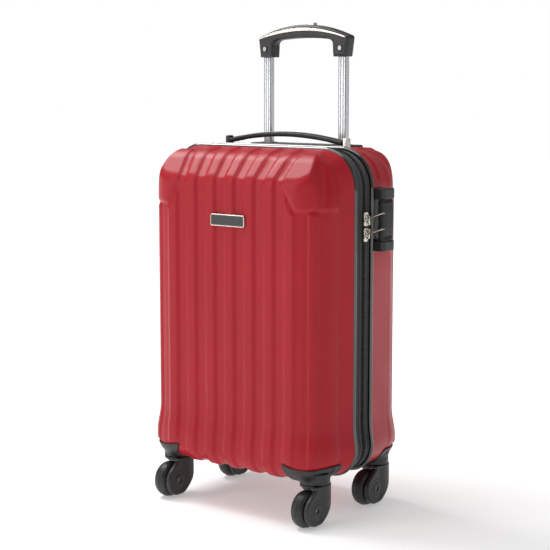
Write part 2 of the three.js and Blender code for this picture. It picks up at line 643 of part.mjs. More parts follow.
// ---------------------------------------------------------------- carry handles
// Drawn along X with Z pointing away from the case, then placed by a matrix. The strap's thin
// tabs are held in the two end caps, where they can lift a little.
function carryHandle(name, spec, place, caps) {
  const halfStrap = spec.length / 2 - spec.capLength - 1;
  const middleOf = spec.capHeight - 2.4 - spec.lift - spec.tab / 2;
  const path = new THREE.QuadraticBezierCurve3(
    new THREE.Vector3(-halfStrap, 0, middleOf),
    new THREE.Vector3(0, 0, middleOf + 2 * spec.rise),
    new THREE.Vector3(halfStrap, 0, middleOf),
  );
  const section = roundRect(spec.width, spec.thickness, spec.thickness * 0.38);
  const strap = solid(new THREE.ExtrudeGeometry(section, { steps: 12, extrudePath: path, curveSegments: 1 }));
  const tabEnd = spec.length / 2 - 3;
  const tabHalf = spec.tabWidth / 2;
  const tabs = [-1, 1].map((hand) => {
    const [x0, x1] = [hand * (halfStrap - 4), hand * tabEnd].sort((p, q) => p - q);
    return solid(box(x0, x1, -tabHalf, tabHalf, middleOf - spec.tab / 2, middleOf + spec.tab / 2));
  });
  add(name, toGeometry(join(strap, ...tabs)).applyMatrix4(place), blackRubber);

  for (const [word, hand, material] of caps) {
    const [x0, x1] = [hand * (spec.length / 2 - spec.capLength), hand * spec.length / 2].sort((p, q) => p - q);
    const outline = roundRect(spec.capWidth, spec.capHeight + 30, spec.capRound, 0, spec.capHeight / 2 - 15);
    const block = solid(prismX(outline, x0 + 1, x1 - 1, { curveSegments: 3,
      bevelEnabled: true, bevelThickness: 1, bevelSize: 1, bevelOffset: -1, bevelSegments: 1 }));
    const cavity = [hand * (spec.length / 2 - spec.capLength - 2), hand * (tabEnd + slideClearance)];
    cavity.sort((p, q) => p - q);
    const bottom = middleOf - spec.tab / 2 - slideClearance;
    const hollow = solid(box(...cavity, -tabHalf - slideClearance, tabHalf + slideClearance,
      bottom, middleOf + spec.tab / 2 + spec.lift + slideClearance));
    const placed = solid(toGeometry(block.subtract(hollow)).applyMatrix4(place));
    add(`${name}_cap_${word}`, placed.subtract(form(1, clearance, 30)), material);
  }
}

carryHandle('top_handle', topHandle, new THREE.Matrix4().makeTranslation(0, topHandle.y, shellTop),
  [['left', -1, blackPlastic], ['right', 1, nickel]]);
carryHandle('side_handle', sideHandle, new THREE.Matrix4().makeBasis(Z.clone().negate(), Y, X)
  .setPosition(halfWidth, sideHandle.y, sideHandle.z),
  [['lower', 1, blackPlastic], ['upper', -1, blackPlastic]]);

// ---------------------------------------------------------------- badge
const badgeFace = -(faceY + fluteDepth);
add('badge', prismY(roundRect(badgeSize.x, badgeSize.z, 3, 0, badgeZ), badgeFace - badgeSize.y,
  badgeFace - clearance, { curveSegments: 3 }), nickel);

// the origin goes under the middle of the object's box
const bounds = new THREE.Box3().setFromObject(suitcase);
const middle = bounds.getCenter(new THREE.Vector3());
suitcase.position.set(-middle.x, -middle.y, -bounds.min.z);

export default suitcase;
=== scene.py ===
"""The looks of a hard shell cabin suitcase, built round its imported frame.

Two fluted red shells, a black zipped gusset, a two-stage trolley, two carry handles and four
casters. New pieces are worked out in metres from the middle of the case: x to the right, y to
the back, z up from the floor.
"""

import json
import math

import bmesh
import bpy
import numpy as np
from bpy.props import FloatProperty, FloatVectorProperty, IntProperty, PointerProperty
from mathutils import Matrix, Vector


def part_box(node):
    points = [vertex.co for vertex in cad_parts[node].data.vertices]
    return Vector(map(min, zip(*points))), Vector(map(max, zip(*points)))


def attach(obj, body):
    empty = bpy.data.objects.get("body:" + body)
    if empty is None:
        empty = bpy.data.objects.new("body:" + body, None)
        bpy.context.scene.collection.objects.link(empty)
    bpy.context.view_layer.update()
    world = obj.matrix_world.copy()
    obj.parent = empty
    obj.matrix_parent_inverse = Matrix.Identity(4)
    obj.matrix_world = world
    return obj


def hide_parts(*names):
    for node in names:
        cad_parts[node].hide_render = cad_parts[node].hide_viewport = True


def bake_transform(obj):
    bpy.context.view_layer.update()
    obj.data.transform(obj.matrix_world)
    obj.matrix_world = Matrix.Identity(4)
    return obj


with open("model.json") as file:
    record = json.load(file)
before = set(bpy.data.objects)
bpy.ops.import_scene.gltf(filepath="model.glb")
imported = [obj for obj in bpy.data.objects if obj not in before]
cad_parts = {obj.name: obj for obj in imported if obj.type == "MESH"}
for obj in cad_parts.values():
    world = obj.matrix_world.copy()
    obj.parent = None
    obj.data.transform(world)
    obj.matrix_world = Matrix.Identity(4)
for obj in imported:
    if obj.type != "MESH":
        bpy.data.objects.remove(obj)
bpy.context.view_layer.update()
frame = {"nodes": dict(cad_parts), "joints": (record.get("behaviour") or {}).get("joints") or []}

bl_info = {
    "name": "Cabin suitcase",
    "version": (1, 0, 0),
    "blender": (4, 5, 0),
    "location": "3D View > Sidebar > Suitcase",
    "description": "Builds the shells, gusset, trolley, handles and casters of a cabin suitcase",
    "category": "Add Mesh",
}

# ---------------------------------------------------------------- places taken from the frame
front_low, front_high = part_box("front_shell")
rear_low, rear_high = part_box("rear_shell")
MIDDLE = np.array([(front_low.x + front_high.x) / 2, (front_low.y + rear_high.y) / 2, 0.0])
BOTTOM = front_low.z
TOP = rear_high.z
JOINTS = {joint["name"]: joint for joint in frame["joints"]}
FRONT = -1
REAR = 1
RIM = {FRONT: MIDDLE[1] - front_high.y, REAR: rear_low.y - MIDDLE[1]}
PLACES = ("front_left", "front_right", "rear_left", "rear_right")


def node_box(node):
    """Lowest and highest corner of a CAD node, measured from the middle of the case."""
    low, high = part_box(node)
    return np.array(low) - MIDDLE, np.array(high) - MIDDLE


def joint_point(name):
    """A point on a joint's axis, measured from the middle of the case."""
    return np.array(JOINTS[name]["pos_m"]) - MIDDLE


# ---------------------------------------------------------------- sizes and colours
def length(name, description, default):
    return FloatProperty(name=name, description=description, default=default, unit="LENGTH",
                         precision=4)


def colour(name, description, default):
    return FloatVectorProperty(name=name, description=description, default=default,
                               subtype="COLOR", size=3, min=0, max=1)


class ShellSizes(bpy.types.PropertyGroup):
    """Sizes of the two hard shells and what stands out of them."""

    flare: length("Flare", "How far the shells widen towards the wheels", 0.004)
    flare_top: length("Flare top", "Height where the shells start to widen", 0.148)
    flare_bottom: length("Flare bottom", "Height where they reach full width", 0.104)
    draft: length("Draft", "How far the side walls narrow from rim to corner", 0.008)
    plan_radius: length("Upright edges", "Radius of the upright edges", 0.050)
    corner_radius: length("Outline corners", "Radius of the outline's upper corners", 0.056)
    foot_radius: length("Lower edges", "Radius of the front and back lower edges", 0.026)
    foot_corner: length("Lower corners", "Radius of the outline's lower corners", 0.044)
    back_top_radius: length("Back top edge", "Radius of the rear shell's upper edge", 0.030)
    crease: length("Crease height", "Height where the front turns into the slope", 0.505)
    slope_depth: length("Slope depth", "How far back the slope goes", 0.030)
    slope_rise: length("Slope rise", "How far up the slope goes", 0.036)
    wall: length("Wall", "Thickness of the shells", 0.0024)
    flute_pitch: length("Flute pitch", "Distance from band to band", 0.0374)
    flute_depth: length("Flute depth", "Height of a raised band", 0.003)
    flute_crest: length("Flute crest", "Flat width of a raised band", 0.013)
    flute_foot: length("Flute foot", "Width of a raised band at its foot", 0.025)
    flutes_per_side: IntProperty(name="Flutes per side", description="Bands beside the middle one",
                                 default=3, min=1, max=4)
    block_bottom: length("Block bottom", "Lower edge of the smooth corner blocks", 0.466)
    block_inner: length("Block inner end", "Inner end of a block at the crease", 0.099)
    block_slant: length("Block slant", "How far a block's lower end lies outwards", 0.023)
    block_back: length("Block back", "Depth of a block's back edge", 0.066)
    rib_angle: FloatProperty(name="Rib angle", description="Where the narrow rib runs on an upright edge",
                             default=math.radians(52), subtype="ANGLE")
    rib_half: length("Rib half width", "Half the foot of the narrow rib", 0.0087)
    rib_crest: length("Rib half crest", "Half the flat of the narrow rib", 0.0053)


class FittingSizes(bpy.types.PropertyGroup):
    """Sizes of the gusset, casters, trolley and handles."""

    piping_proud: length("Piping", "How far the piping stands out of the shells", 0.0034)
    coil_pitch: length("Zip pitch", "Distance from tooth to tooth", 0.0017)
    wheel_radius: length("Wheel radius", "Radius of the wheels", 0.028)
    wheel_width: length("Wheel width", "Width of the wheels", 0.022)
    housing_radius: length("Housing radius", "Radius of the caster housings", 0.0224)
    arm: length("Arm thickness", "Thickness of the fork's arm", 0.0085)
    wheel_gap: length("Wheel gap", "Gap between a wheel and its arm", 0.0012)
    bracket_proud: length("Bracket", "How far a bracket stands out of the shell", 0.0026)
    bracket_inner: length("Bracket end", "Where a bracket's inner end is, from the middle", 0.101)
    tube_wall: length("Tube wall", "Wall of the trolley tubes", 0.0012)
    tube_corner: length("Tube corner", "Corner radius of the inner tubes", 0.0032)
    grip_round: length("Grip rounding", "Rounding of the grip's edges", 0.0055)
    strap_thickness: length("Top strap", "Thickness of the top strap", 0.007)
    strap_tab: length("Top strap tabs", "Half width of the tabs in the top caps", 0.0035)
    side_thickness: length("Side strap", "Thickness of the side strap", 0.012)
    side_tab: length("Side strap tabs", "Half width of the tabs in the side caps", 0.009)
    strap_lift: length("Strap lift", "How far a strap can lift in its caps", 0.0037)
    tab_gap: length("Tab gap", "Gap between a strap's tabs and its caps", 0.0005)
    disc_inset: length("Fork disc", "How much smaller than the wheel a fork's disc is", 0.0045)
    pull_half: length("Pull", "Half the thickness of a zip pull", 0.0008)


class Finishes(bpy.types.PropertyGroup):
    """Colours of the finishes."""

    shell: colour("Shell", "Moulded shell", (0.400, 0.011, 0.020))
    plastic: colour("Black plastic", "Casters, grip and bezel", (0.020, 0.020, 0.019))
    piping: colour("Piping", "Glossy edging", (0.010, 0.010, 0.010))
    fabric: colour("Tape", "Zip tape of the gusset", (0.016, 0.016, 0.015))
    lining: colour("Lining", "Woven lining", (0.085, 0.090, 0.096))
    aluminium: colour("Tubes", "Anodised tubes", (0.68, 0.69, 0.71))
    nickel: colour("Nickel", "Sliders, badge rim and caps", (0.66, 0.62, 0.56))


def shell_sizes():
    return bpy.context.scene.suitcase_shell


def fittings():
    return bpy.context.scene.suitcase_fittings


def finishes():
    return bpy.context.scene.suitcase_finishes


def face_depth():
    """Depth of the recessed front and back faces, from the middle of the case."""
    sizes = shell_sizes()
    return rear_high.y - MIDDLE[1] - sizes.flare - sizes.flute_depth


def half_width():
    return front_high.x - MIDDLE[0] - shell_sizes().flare


# ---------------------------------------------------------------- distance formulas
def ramp(value, start, end):
    """Nought before start, one after end, and a smooth S between."""
    t = np.clip((value - start) / (end - start), 0, 1)
    return t * t * (3 - 2 * t)


def flat_ramp(t, soft=0.12):
    """Straight from nought to one as t goes from nought to one, with softened bends."""
    return (np.sqrt(t * t + soft * soft) - np.sqrt((t - 1) ** 2 + soft * soft) + 1) / 2


def mix(a, b, share):
    return a + (b - a) * share


def round_max(a, b, radius):
    """What lies inside both forms, with the edge where they meet rounded to radius."""
    corner = np.hypot(np.maximum(a + radius, 0), np.maximum(b + radius, 0))
    return np.minimum(np.maximum(a, b), -radius) + corner


def round_min(a, b, radius):
    """What lies inside either form, with a fillet of radius where they meet."""
    return -round_max(-a, -b, radius)


def slab(value, low, high):
    """Distance to a layer between two planes."""
    return np.maximum(low - value, value - high)


def rounded_box(x, y, half_x, half_y, radius):
    """Distance to a rectangle with rounded corners, centred on nought."""
    across = np.abs(x) - half_x + radius
    up = np.abs(y) - half_y + radius
    outside = np.hypot(np.maximum(across, 0), np.maximum(up, 0))
    return outside + np.minimum(np.maximum(across, up), 0) - radius


def outline_distance(x, y, outline):
    """Distance to a closed outline: to its nearest side, negative where a ray to the right
    crosses the sides an odd number of times."""
    nearest = np.inf
    inside = np.zeros(np.broadcast(x, y).shape, bool)
    for (ax, ay), (bx, by) in zip(outline, np.roll(outline, -1, axis=0)):
        ex, ey = bx - ax, by - ay
        along = np.clip(((x - ax) * ex + (y - ay) * ey) / (ex * ex + ey * ey), 0, 1)
        nearest = np.minimum(nearest, np.hypot(x - ax - along * ex, y - ay - along * ey))
        if ey != 0:
            crosses = (ay > y) != (by > y)
            inside ^= crosses & (x < ax + (y - ay) * ex / ey)
    return np.where(inside, -nearest, nearest)


def curve(start, pull, end, steps):
    """Points of a quadratic curve from start towards pull to end, without its last point."""
    t = np.linspace(0, 1, steps, endpoint=False)[:, None]
    start, pull, end = map(np.array, (start, pull, end))
    return (1 - t) ** 2 * start + 2 * t * (1 - t) * pull + t * t * end


# ---------------------------------------------------------------- meshes
def make_piece(name, points, faces, material, weld=False, sharp=40, run=None):
    """An object from points in case coordinates. run is a value for each point that a woven
    pattern follows: metres along the piece and across it."""
    mesh = bpy.data.meshes.new(name)
    mesh.from_pydata((points + MIDDLE).tolist(), [], faces)
    if weld:
        body = bmesh.new()
        body.from_mesh(mesh)
        bmesh.ops.remove_doubles(body, verts=body.verts, dist=2e-6)
        bmesh.ops.recalc_face_normals(body, faces=body.faces)
        body.to_mesh(mesh)
        body.free()
    if run is not None:
        attribute = mesh.attributes.new("run", "FLOAT_VECTOR", "POINT")
        values = np.zeros((len(points), 3), np.float32)
        values[:, : run.shape[1]] = run
        attribute.data.foreach_set("vector", values.ravel())
    mesh.shade_smooth()
    mesh.set_sharp_from_angle(angle=math.radians(sharp))
    mesh.materials.append(material)
    piece = bpy.data.objects.new(name, mesh)
    bpy.context.scene.collection.objects.link(piece)
    return piece


def settle(piece, body, slot, *nodes):
    """Puts a piece on its body and hides the CAD nodes that it stands for; slot, its finish, is not used."""
    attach(piece, body)
    if nodes:
        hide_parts(*nodes)
    return piece


def grid_faces(rows, columns, loop_rows=False, loop_columns=False, first=0):
    """Quads of a grid whose points are numbered row by row from first."""
    i = np.arange(rows if loop_rows else rows - 1)[:, None]
    j = np.arange(columns if loop_columns else columns - 1)[None, :]
    next_i = (i + 1) % rows
    next_j = (j + 1) % columns
    corners = (i * columns + j, i * columns + next_j, next_i * columns + next_j, next_i * columns + j)
    return first + np.stack(corners, -1).reshape(-1, 4)


def outward(points, faces):
    """The faces turned round if they enclose a negative volume."""
    triangles = np.concatenate([faces[:, [0, 1, 2]], faces[:, [0, 2, 3]]])
    a, b, c = (points[triangles[:, k]] for k in range(3))
    volume = np.einsum("ij,ij->i", a, np.cross(b, c)).sum()
    return faces[:, ::-1] if volume < 0 else faces


def carried(name, points, material, loop=False, sharp=40, run=None):
    """A closed profile carried along a path: points[i, j] is the profile's point j at step i.
    The two ends are closed unless the path is a loop."""
    rows, columns = points.shape[:2]
    faces = grid_faces(rows, columns, loop_rows=loop, loop_columns=True)
    flat = points.reshape(-1, 3)
    if not loop:
        ends = flat[:columns].mean(0), flat[-columns:].mean(0)
        flat = np.vstack([flat, *ends])
        j = np.arange(columns)
        following = (j + 1) % columns
        start = np.full(columns, rows * columns)
        last = (rows - 1) * columns
        caps = [np.stack([start, following, j, start], -1),
                np.stack([start + 1, last + j, last + following, start + 1], -1)]
        solid = outward(flat, np.vstack([faces, *caps]))
        wrong_way = not np.array_equal(solid[0], faces[0])
        caps = [cap[:, :3] for cap in caps]
        if wrong_way:
            faces = faces[:, ::-1]
            caps = [cap[:, ::-1] for cap in caps]
        every = faces.tolist() + caps[0].tolist() + caps[1].tolist()
        if run is not None:
            run = np.vstack([run, run[:1], run[-1:]])
        return make_piece(name, flat, every, material, sharp=sharp, run=run)
    return make_piece(name, flat, outward(flat, faces).tolist(), material, sharp=sharp, run=run)


def skin(name, field, low, high, step, material, sharp=40):
    """The skin where a distance formula is nought, between two corners.

    A grid of cubes is laid over the space. Each cube that the skin passes through gets one
    point, the mean of the places where the skin cuts its edges, and each grid edge that the
    skin cuts gets the quad of the four cubes round it. Each point then slides along the
    formula's slope until the formula is nought there.
    """
    low, high = np.array(low, float), np.array(high, float)
    counts = np.ceil((high - low) / step).astype(int) + 2
    axes = [low[k] - step / 2 + step * np.arange(counts[k]) for k in range(3)]
    values = np.broadcast_to(field(*np.meshgrid(*axes, indexing="ij", sparse=True)), counts)
    cells = counts - 1
    total = np.zeros((*cells, 3))
    cuts = np.zeros(cells)
    crossings = []
    for axis in range(3):
        first = values.take(range(counts[axis] - 1), axis)
        second = values.take(range(1, counts[axis]), axis)
        crossed = (first < 0) != (second < 0)
        share = np.where(crossed, first / np.where(crossed, first - second, 1), 0)
        crossings.append((crossed, first < 0))
        others = [k for k in range(3) if k != axis]
        for p in (0, 1):
            for q in (0, 1):
                window = [slice(None)] * 3
                window[others[0]] = slice(p, p + cells[others[0]])
                window[others[1]] = slice(q, q + cells[others[1]])
                here = crossed[tuple(window)]
                cuts += here
                total[..., axis] += share[tuple(window)]
                total[..., others[0]] += p * here
                total[..., others[1]] += q * here
    full = cuts > 0
    number = np.full(cells, -1)
    number[full] = np.arange(full.sum())
    corner = np.argwhere(full)
    points = low - step / 2 + step * (corner + total[full] / cuts[full][:, None])

    quads = []
    for axis, (crossed, starts_inside) in enumerate(crossings):
        one, two = [k for k in range(3) if k != axis]
        inner = [slice(None)] * 3
        inner[one] = slice(1, -1)
        inner[two] = slice(1, -1)
        at = np.argwhere(crossed[tuple(inner)])
        at[:, one] += 1
        at[:, two] += 1
        around = []
        for p, q in ((-1, -1), (0, -1), (0, 0), (-1, 0)):
            cell = at.copy()
            cell[:, one] += p
            cell[:, two] += q
            around.append(number[tuple(cell.T)])
        quad = np.stack(around, -1)
        flip = starts_inside[tuple(at.T)] == (axis == 1)
        quad[flip] = quad[flip][:, ::-1]
        quads.append(quad)
    faces = np.vstack(quads)

    reach = 0.25 * step
    for _ in range(3):
        x, y, z = points.T
        value = field(x, y, z)
        slope = np.stack([field(x + reach, y, z) - field(x - reach, y, z),
                          field(x, y + reach, z) - field(x, y - reach, z),
                          field(x, y, z + reach) - field(x, y, z - reach)], -1) / (2 * reach)
        steep = np.maximum((slope ** 2).sum(-1), 0.2)
        move = -(value / steep)[:, None] * slope
        points = points + np.clip(move, -reach, reach)
    return make_piece(name, points, outward(points, faces).tolist(), material, sharp=sharp)


# ---------------------------------------------------------------- shell form
def shell_body(x, y, z, side):
    """Distance to one half of the case without what stands out of it.

    The side walls narrow by the draft and meet the face in an upright edge of plan_radius; the
    underside meets the face in foot_radius and the sides in foot_corner. In front the roof is a
    slope and a shallow top; behind it falls a little and turns down in back_top_radius.
    """
    sizes = shell_sizes()
    face, wide, rim = face_depth(), half_width(), RIM[side]
    depth = side * y
    widen = sizes.flare * ramp(z, sizes.flare_top, sizes.flare_bottom)
    taper = sizes.draft * np.clip((depth - rim) / (face - sizes.plan_radius - rim), 0, 1)
    beside = np.abs(x) - (wide + widen - taper)
    ahead = depth - face - widen
    blend_reach = 0.02
    at_side = ramp(beside - ahead, -blend_reach, blend_reach)
    wall = round_max(beside, ahead, sizes.plan_radius)
    low = round_max(wall, BOTTOM - z, mix(sizes.foot_radius, sizes.foot_corner, at_side))
    if side == FRONT:
        run, rise = sizes.slope_depth, sizes.slope_rise
        slope = ((depth - face) * rise + (z - sizes.crease) * run) / math.hypot(rise, run)
        back = face - run - rim
        fall = TOP - sizes.crease - rise
        top = ((depth - rim) * fall + (z - TOP) * back) / math.hypot(fall, back)
        roof = round_max(slope, top, 0.006)
        crease_radius = 0.0025
        return round_max(low, roof, mix(crease_radius, sizes.corner_radius, at_side))
    fall = 0.004
    top = z - TOP + fall * np.clip((depth - rim) / (face - sizes.back_top_radius - rim), 0, 1)
    return round_max(low, top, mix(sizes.back_top_radius, sizes.corner_radius, at_side))


def bracket_top(x):
    """Height of a caster bracket's hollow upper edge at a distance x from the middle."""
    low, high = node_box("caster_bracket_front_right")
    hollow = 0.006
    mid = (low[0] + high[0]) / 2
    return high[2] - hollow * (1 - ((np.abs(x) - mid) / (mid - low[0])) ** 2)


def block_distance(x, depth, z):
    """Distance to the smooth corner block: behind its back edge, below its lower edge, and
    inwards of the two slanting ends that meet at the crease."""
    sizes = shell_sizes()
    across = np.abs(x) - sizes.block_inner
    up = z - sizes.crease
    drop = sizes.crease - sizes.block_bottom
    lower_end = -(across * drop + up * sizes.block_slant) / math.hypot(drop, sizes.block_slant)
    lean = 0.18
    upper_end = (-across + up * lean) / math.hypot(1, lean)
    below = sizes.block_bottom - z
    behind = sizes.block_back - depth
    return np.maximum(np.maximum(lower_end, upper_end), np.maximum(below, behind))


def relief(x, y, z, side):
    """Height of what stands out of a shell: the bands, the corner blocks and the corner ribs.

    A band is a trapezoid across the face that repeats at the flute pitch. On the front roof the
    bands fan out. They stop short of the rim, the caster brackets, the blocks and the bezel.
    """
    sizes = shell_sizes()
    face, rim = face_depth(), RIM[side]
    depth = side * y
    run = sizes.slope_depth
    fan = 1.0
    if side == FRONT:
        fan_at_break, fan_back = 0.09, 0.034
        fan = (1 + fan_at_break * np.clip((face - depth) / run, 0, 1)
               - fan_back * np.clip((face - run - depth) / (face - run - rim), 0, 1))
    across = x / fan
    most = sizes.flutes_per_side
    index = np.clip(np.round(across / sizes.flute_pitch), -most, most)
    off = np.abs(across - index * sizes.flute_pitch)
    bands = flat_ramp((sizes.flute_foot / 2 - off) / (sizes.flute_foot - sizes.flute_crest) * 2)

    centre = half_width() - sizes.draft - sizes.plan_radius
    angle = np.arctan2(depth - face + sizes.plan_radius, np.abs(x) - centre)
    rib_off = sizes.plan_radius * np.abs(angle - sizes.rib_angle)
    ribs = flat_ramp((sizes.rib_half - rib_off) / (sizes.rib_half - sizes.rib_crest), 0.2)
    rib_top = sizes.block_bottom if side == FRONT else sizes.crease - 0.012
    ribs = ribs * flat_ramp((rib_top - z) / 0.007)

    inner = fittings().bracket_inner
    over_bracket = ramp(z - bracket_top(x), 0.0005, 0.006)
    free = np.maximum(over_bracket, ramp(inner - np.abs(x), 0, 0.004))
    if side == FRONT:
        outside = block_distance(x, depth, z)
        outer_band = np.abs(index) >= most
        bands = bands * np.where(outer_band, ramp(outside, 0.003, 0.009) * (z < sizes.crease), 1)
        bands = bands * ramp(depth, rim + 0.004, rim + 0.010)
        blocks = flat_ramp(0.5 - outside / 0.005, 0.16)
        raised = np.maximum(np.maximum(bands, ribs) * free, blocks)
        rim_step = 0.27 * ramp(depth, 0.0625, 0.0585) * ramp(np.abs(x), 0.14, 0.15)
        return sizes.flute_depth * np.maximum(raised, rim_step)
    bands = bands * ramp(depth, rim + 0.036, rim + 0.044)
    bezel_low, bezel_high = node_box("trolley_bezel")
    on_seat = slab(depth, bezel_low[1], bezel_high[1])
    seat = np.maximum(on_seat, np.abs(x) - bezel_high[0])
    off_seat = np.maximum(ramp(seat, 0.0008, 0.004), ramp(TOP - z, 0.03, 0.04))
    corner_x = half_width() - sizes.corner_radius
    corner_z = TOP - sizes.corner_radius
    turn = np.arctan2(z - corner_z, np.abs(x) - corner_x)
    groove_middle, groove_half, groove_depth, groove_radius = 0.69, 0.021, 0.030, 0.0052
    along = np.maximum(np.abs(sizes.corner_radius * (turn - groove_middle)) - groove_half, 0)
    groove = np.hypot(along, depth - groove_depth) - groove_radius
    sunk = 0.7 * flat_ramp(0.5 - groove / 0.003, 0.16)
    rim_step = 0.27 * ramp(depth, 0.0625, 0.0585) * ramp(np.abs(x), 0.14, 0.15) * ramp(z, 0.40, 0.39)
    raised = np.maximum(np.maximum(bands, ribs) * free * off_seat, rim_step)
    return sizes.flute_depth * (raised - sunk)


def cast(start, direction, field, reach=0.12):
    """Goes from each start along its direction to where a distance formula passes nought."""
    low = np.zeros(start.shape[:-1])
    high = np.full(start.shape[:-1], reach)
    for _ in range(30):
        middle = (low + high) / 2
        point = start + direction * middle[..., None]
        inside = field(point[..., 0], point[..., 1], point[..., 2]) < 0
        low = np.where(inside, middle, low)
        high = np.where(inside, high, middle)
    return start + direction * high[..., None]


def loop_rays(xs, zs, corner_steps):
    """Rays in the x-z plane round a rectangle: straight out of its sides, and turning through a
    quarter at each corner. Starts at the lower left and goes against the clock."""
    left, right, low, high = xs[0], xs[-1], zs[0], zs[-1]
    sides = (
        (xs[:-1], np.full(len(xs) - 1, low), -90),
        (np.full(len(zs) - 1, right), zs[:-1], 0),
        (xs[:0:-1], np.full(len(xs) - 1, high), 90),
        (np.full(len(zs) - 1, left), zs[:0:-1], 180),
    )
    corners = ((right, low), (right, high), (left, high), (left, low))
    start, angle = [], []
    for (side_x, side_z, degrees), corner in zip(sides, corners):
        start.append(np.stack([side_x, side_z], -1))
        angle.append(np.full(len(side_x), degrees))
        start.append(np.tile(corner, (corner_steps, 1)))
        angle.append(degrees + 90 * np.arange(corner_steps) / corner_steps)
    angle = np.radians(np.concatenate(angle))
    return np.concatenate(start), np.stack([np.cos(angle), np.sin(angle)], -1)


def tray_grids(xs, zs, corner_steps, depths, turns, side, field):
    """The two grids of a tray's surface: its wall, row by row from the rim to the face, and its
    face. A wall row at a depth goes straight out of the rectangle; past the last depth the rays
    turn forwards by each of turns, a share of a quarter turn."""
    start, out = loop_rays(xs, zs, corner_steps)
    depth = np.concatenate([depths, np.full(len(turns), depths[-1])])
    turn = np.radians(90) * np.concatenate([np.zeros(len(depths)), turns])
    rows = len(depth)
    origin = np.zeros((rows, len(start), 3))
    origin[..., 0] = start[:, 0]
    origin[..., 1] = side * depth[:, None]
    origin[..., 2] = start[:, 1]
    direction = np.zeros_like(origin)
    direction[..., 0] = np.cos(turn)[:, None] * out[:, 0]
    direction[..., 1] = side * np.sin(turn)[:, None]
    direction[..., 2] = np.cos(turn)[:, None] * out[:, 1]
    wall = cast(origin, direction, field)
    face_x, face_z = np.meshgrid(xs, zs)
    origin = np.stack([face_x, np.full_like(face_x, side * depths[-1]), face_z], -1)
    ahead = np.broadcast_to([0.0, side, 0.0], origin.shape)
    return wall, cast(origin, ahead, field)


def tray(name, side, material, outer, inner, fine, coarse):
    """A closed tray: an outer surface, an inner one whose loop takes every so many of the
    outer's points, and the strip along the rim between them. fine and coarse are the
    arguments of tray_grids for the two surfaces."""
    outer_wall, outer_face = tray_grids(*fine, side, outer)
    inner_wall, inner_face = tray_grids(*coarse, side, inner)
    faces, points, count = [], [], 0
    for grid, loops in ((outer_wall, True), (outer_face, False),
                        (inner_wall, True), (inner_face, False)):
        rows, columns = grid.shape[:2]
        faces += grid_faces(rows, columns, loop_columns=loops, first=count).tolist()
        points.append(grid.reshape(-1, 3))
        count += rows * columns
    outer_count, inner_count = outer_wall.shape[1], inner_wall.shape[1]
    every = outer_count // inner_count
    inner_first = len(points[0]) + len(points[1])
    j = np.arange(inner_count)[:, None]
    outer_edge = (j * every + np.arange(every + 1)) % outer_count
    inner_edge = inner_first + np.concatenate([(j + 1) % inner_count, j], -1)
    faces += np.concatenate([outer_edge, inner_edge], -1).tolist()
    return make_piece(name, np.vstack(points), faces, material, weld=True, sharp=50)


def band_samples(reach):
    """Places across the face, closer together on the flanks of the raised bands. There are as
    many steps as four divides."""
    pitch = shell_sizes().flute_pitch
    part = np.array([0, 0.12, 0.15, 0.18, 0.21, 0.245, 0.28, 0.31, 0.34, 0.37, 0.42])
    period = np.concatenate([part, 1 - part[:0:-1]])
    places = (np.arange(-4, 4)[:, None] + period).ravel() * pitch
    inside = places[np.abs(places) < reach - 0.001]
    steps = len(inside) + 1
    spare = (-steps) % 4
    places = np.concatenate([[-reach], inside, [reach]])
    for _ in range(spare):
        widest = np.argmax(np.diff(places))
        places = np.insert(places, widest + 1, places[widest : widest + 2].mean())
    return places


def height_samples(low, high, fine_from, coarse_step, fine_step):
    """Heights from low to high, with coarse steps up to fine_from and fine ones above it. There
    are as many steps as four divides."""
    coarse = 4 * max(1, round((fine_from - low) / coarse_step / 4))
    fine = 4 * max(1, round((high - fine_from) / fine_step / 4))
    return np.concatenate([np.linspace(low, fine_from, coarse, endpoint=False),
                           np.linspace(fine_from, high, fine + 1)])


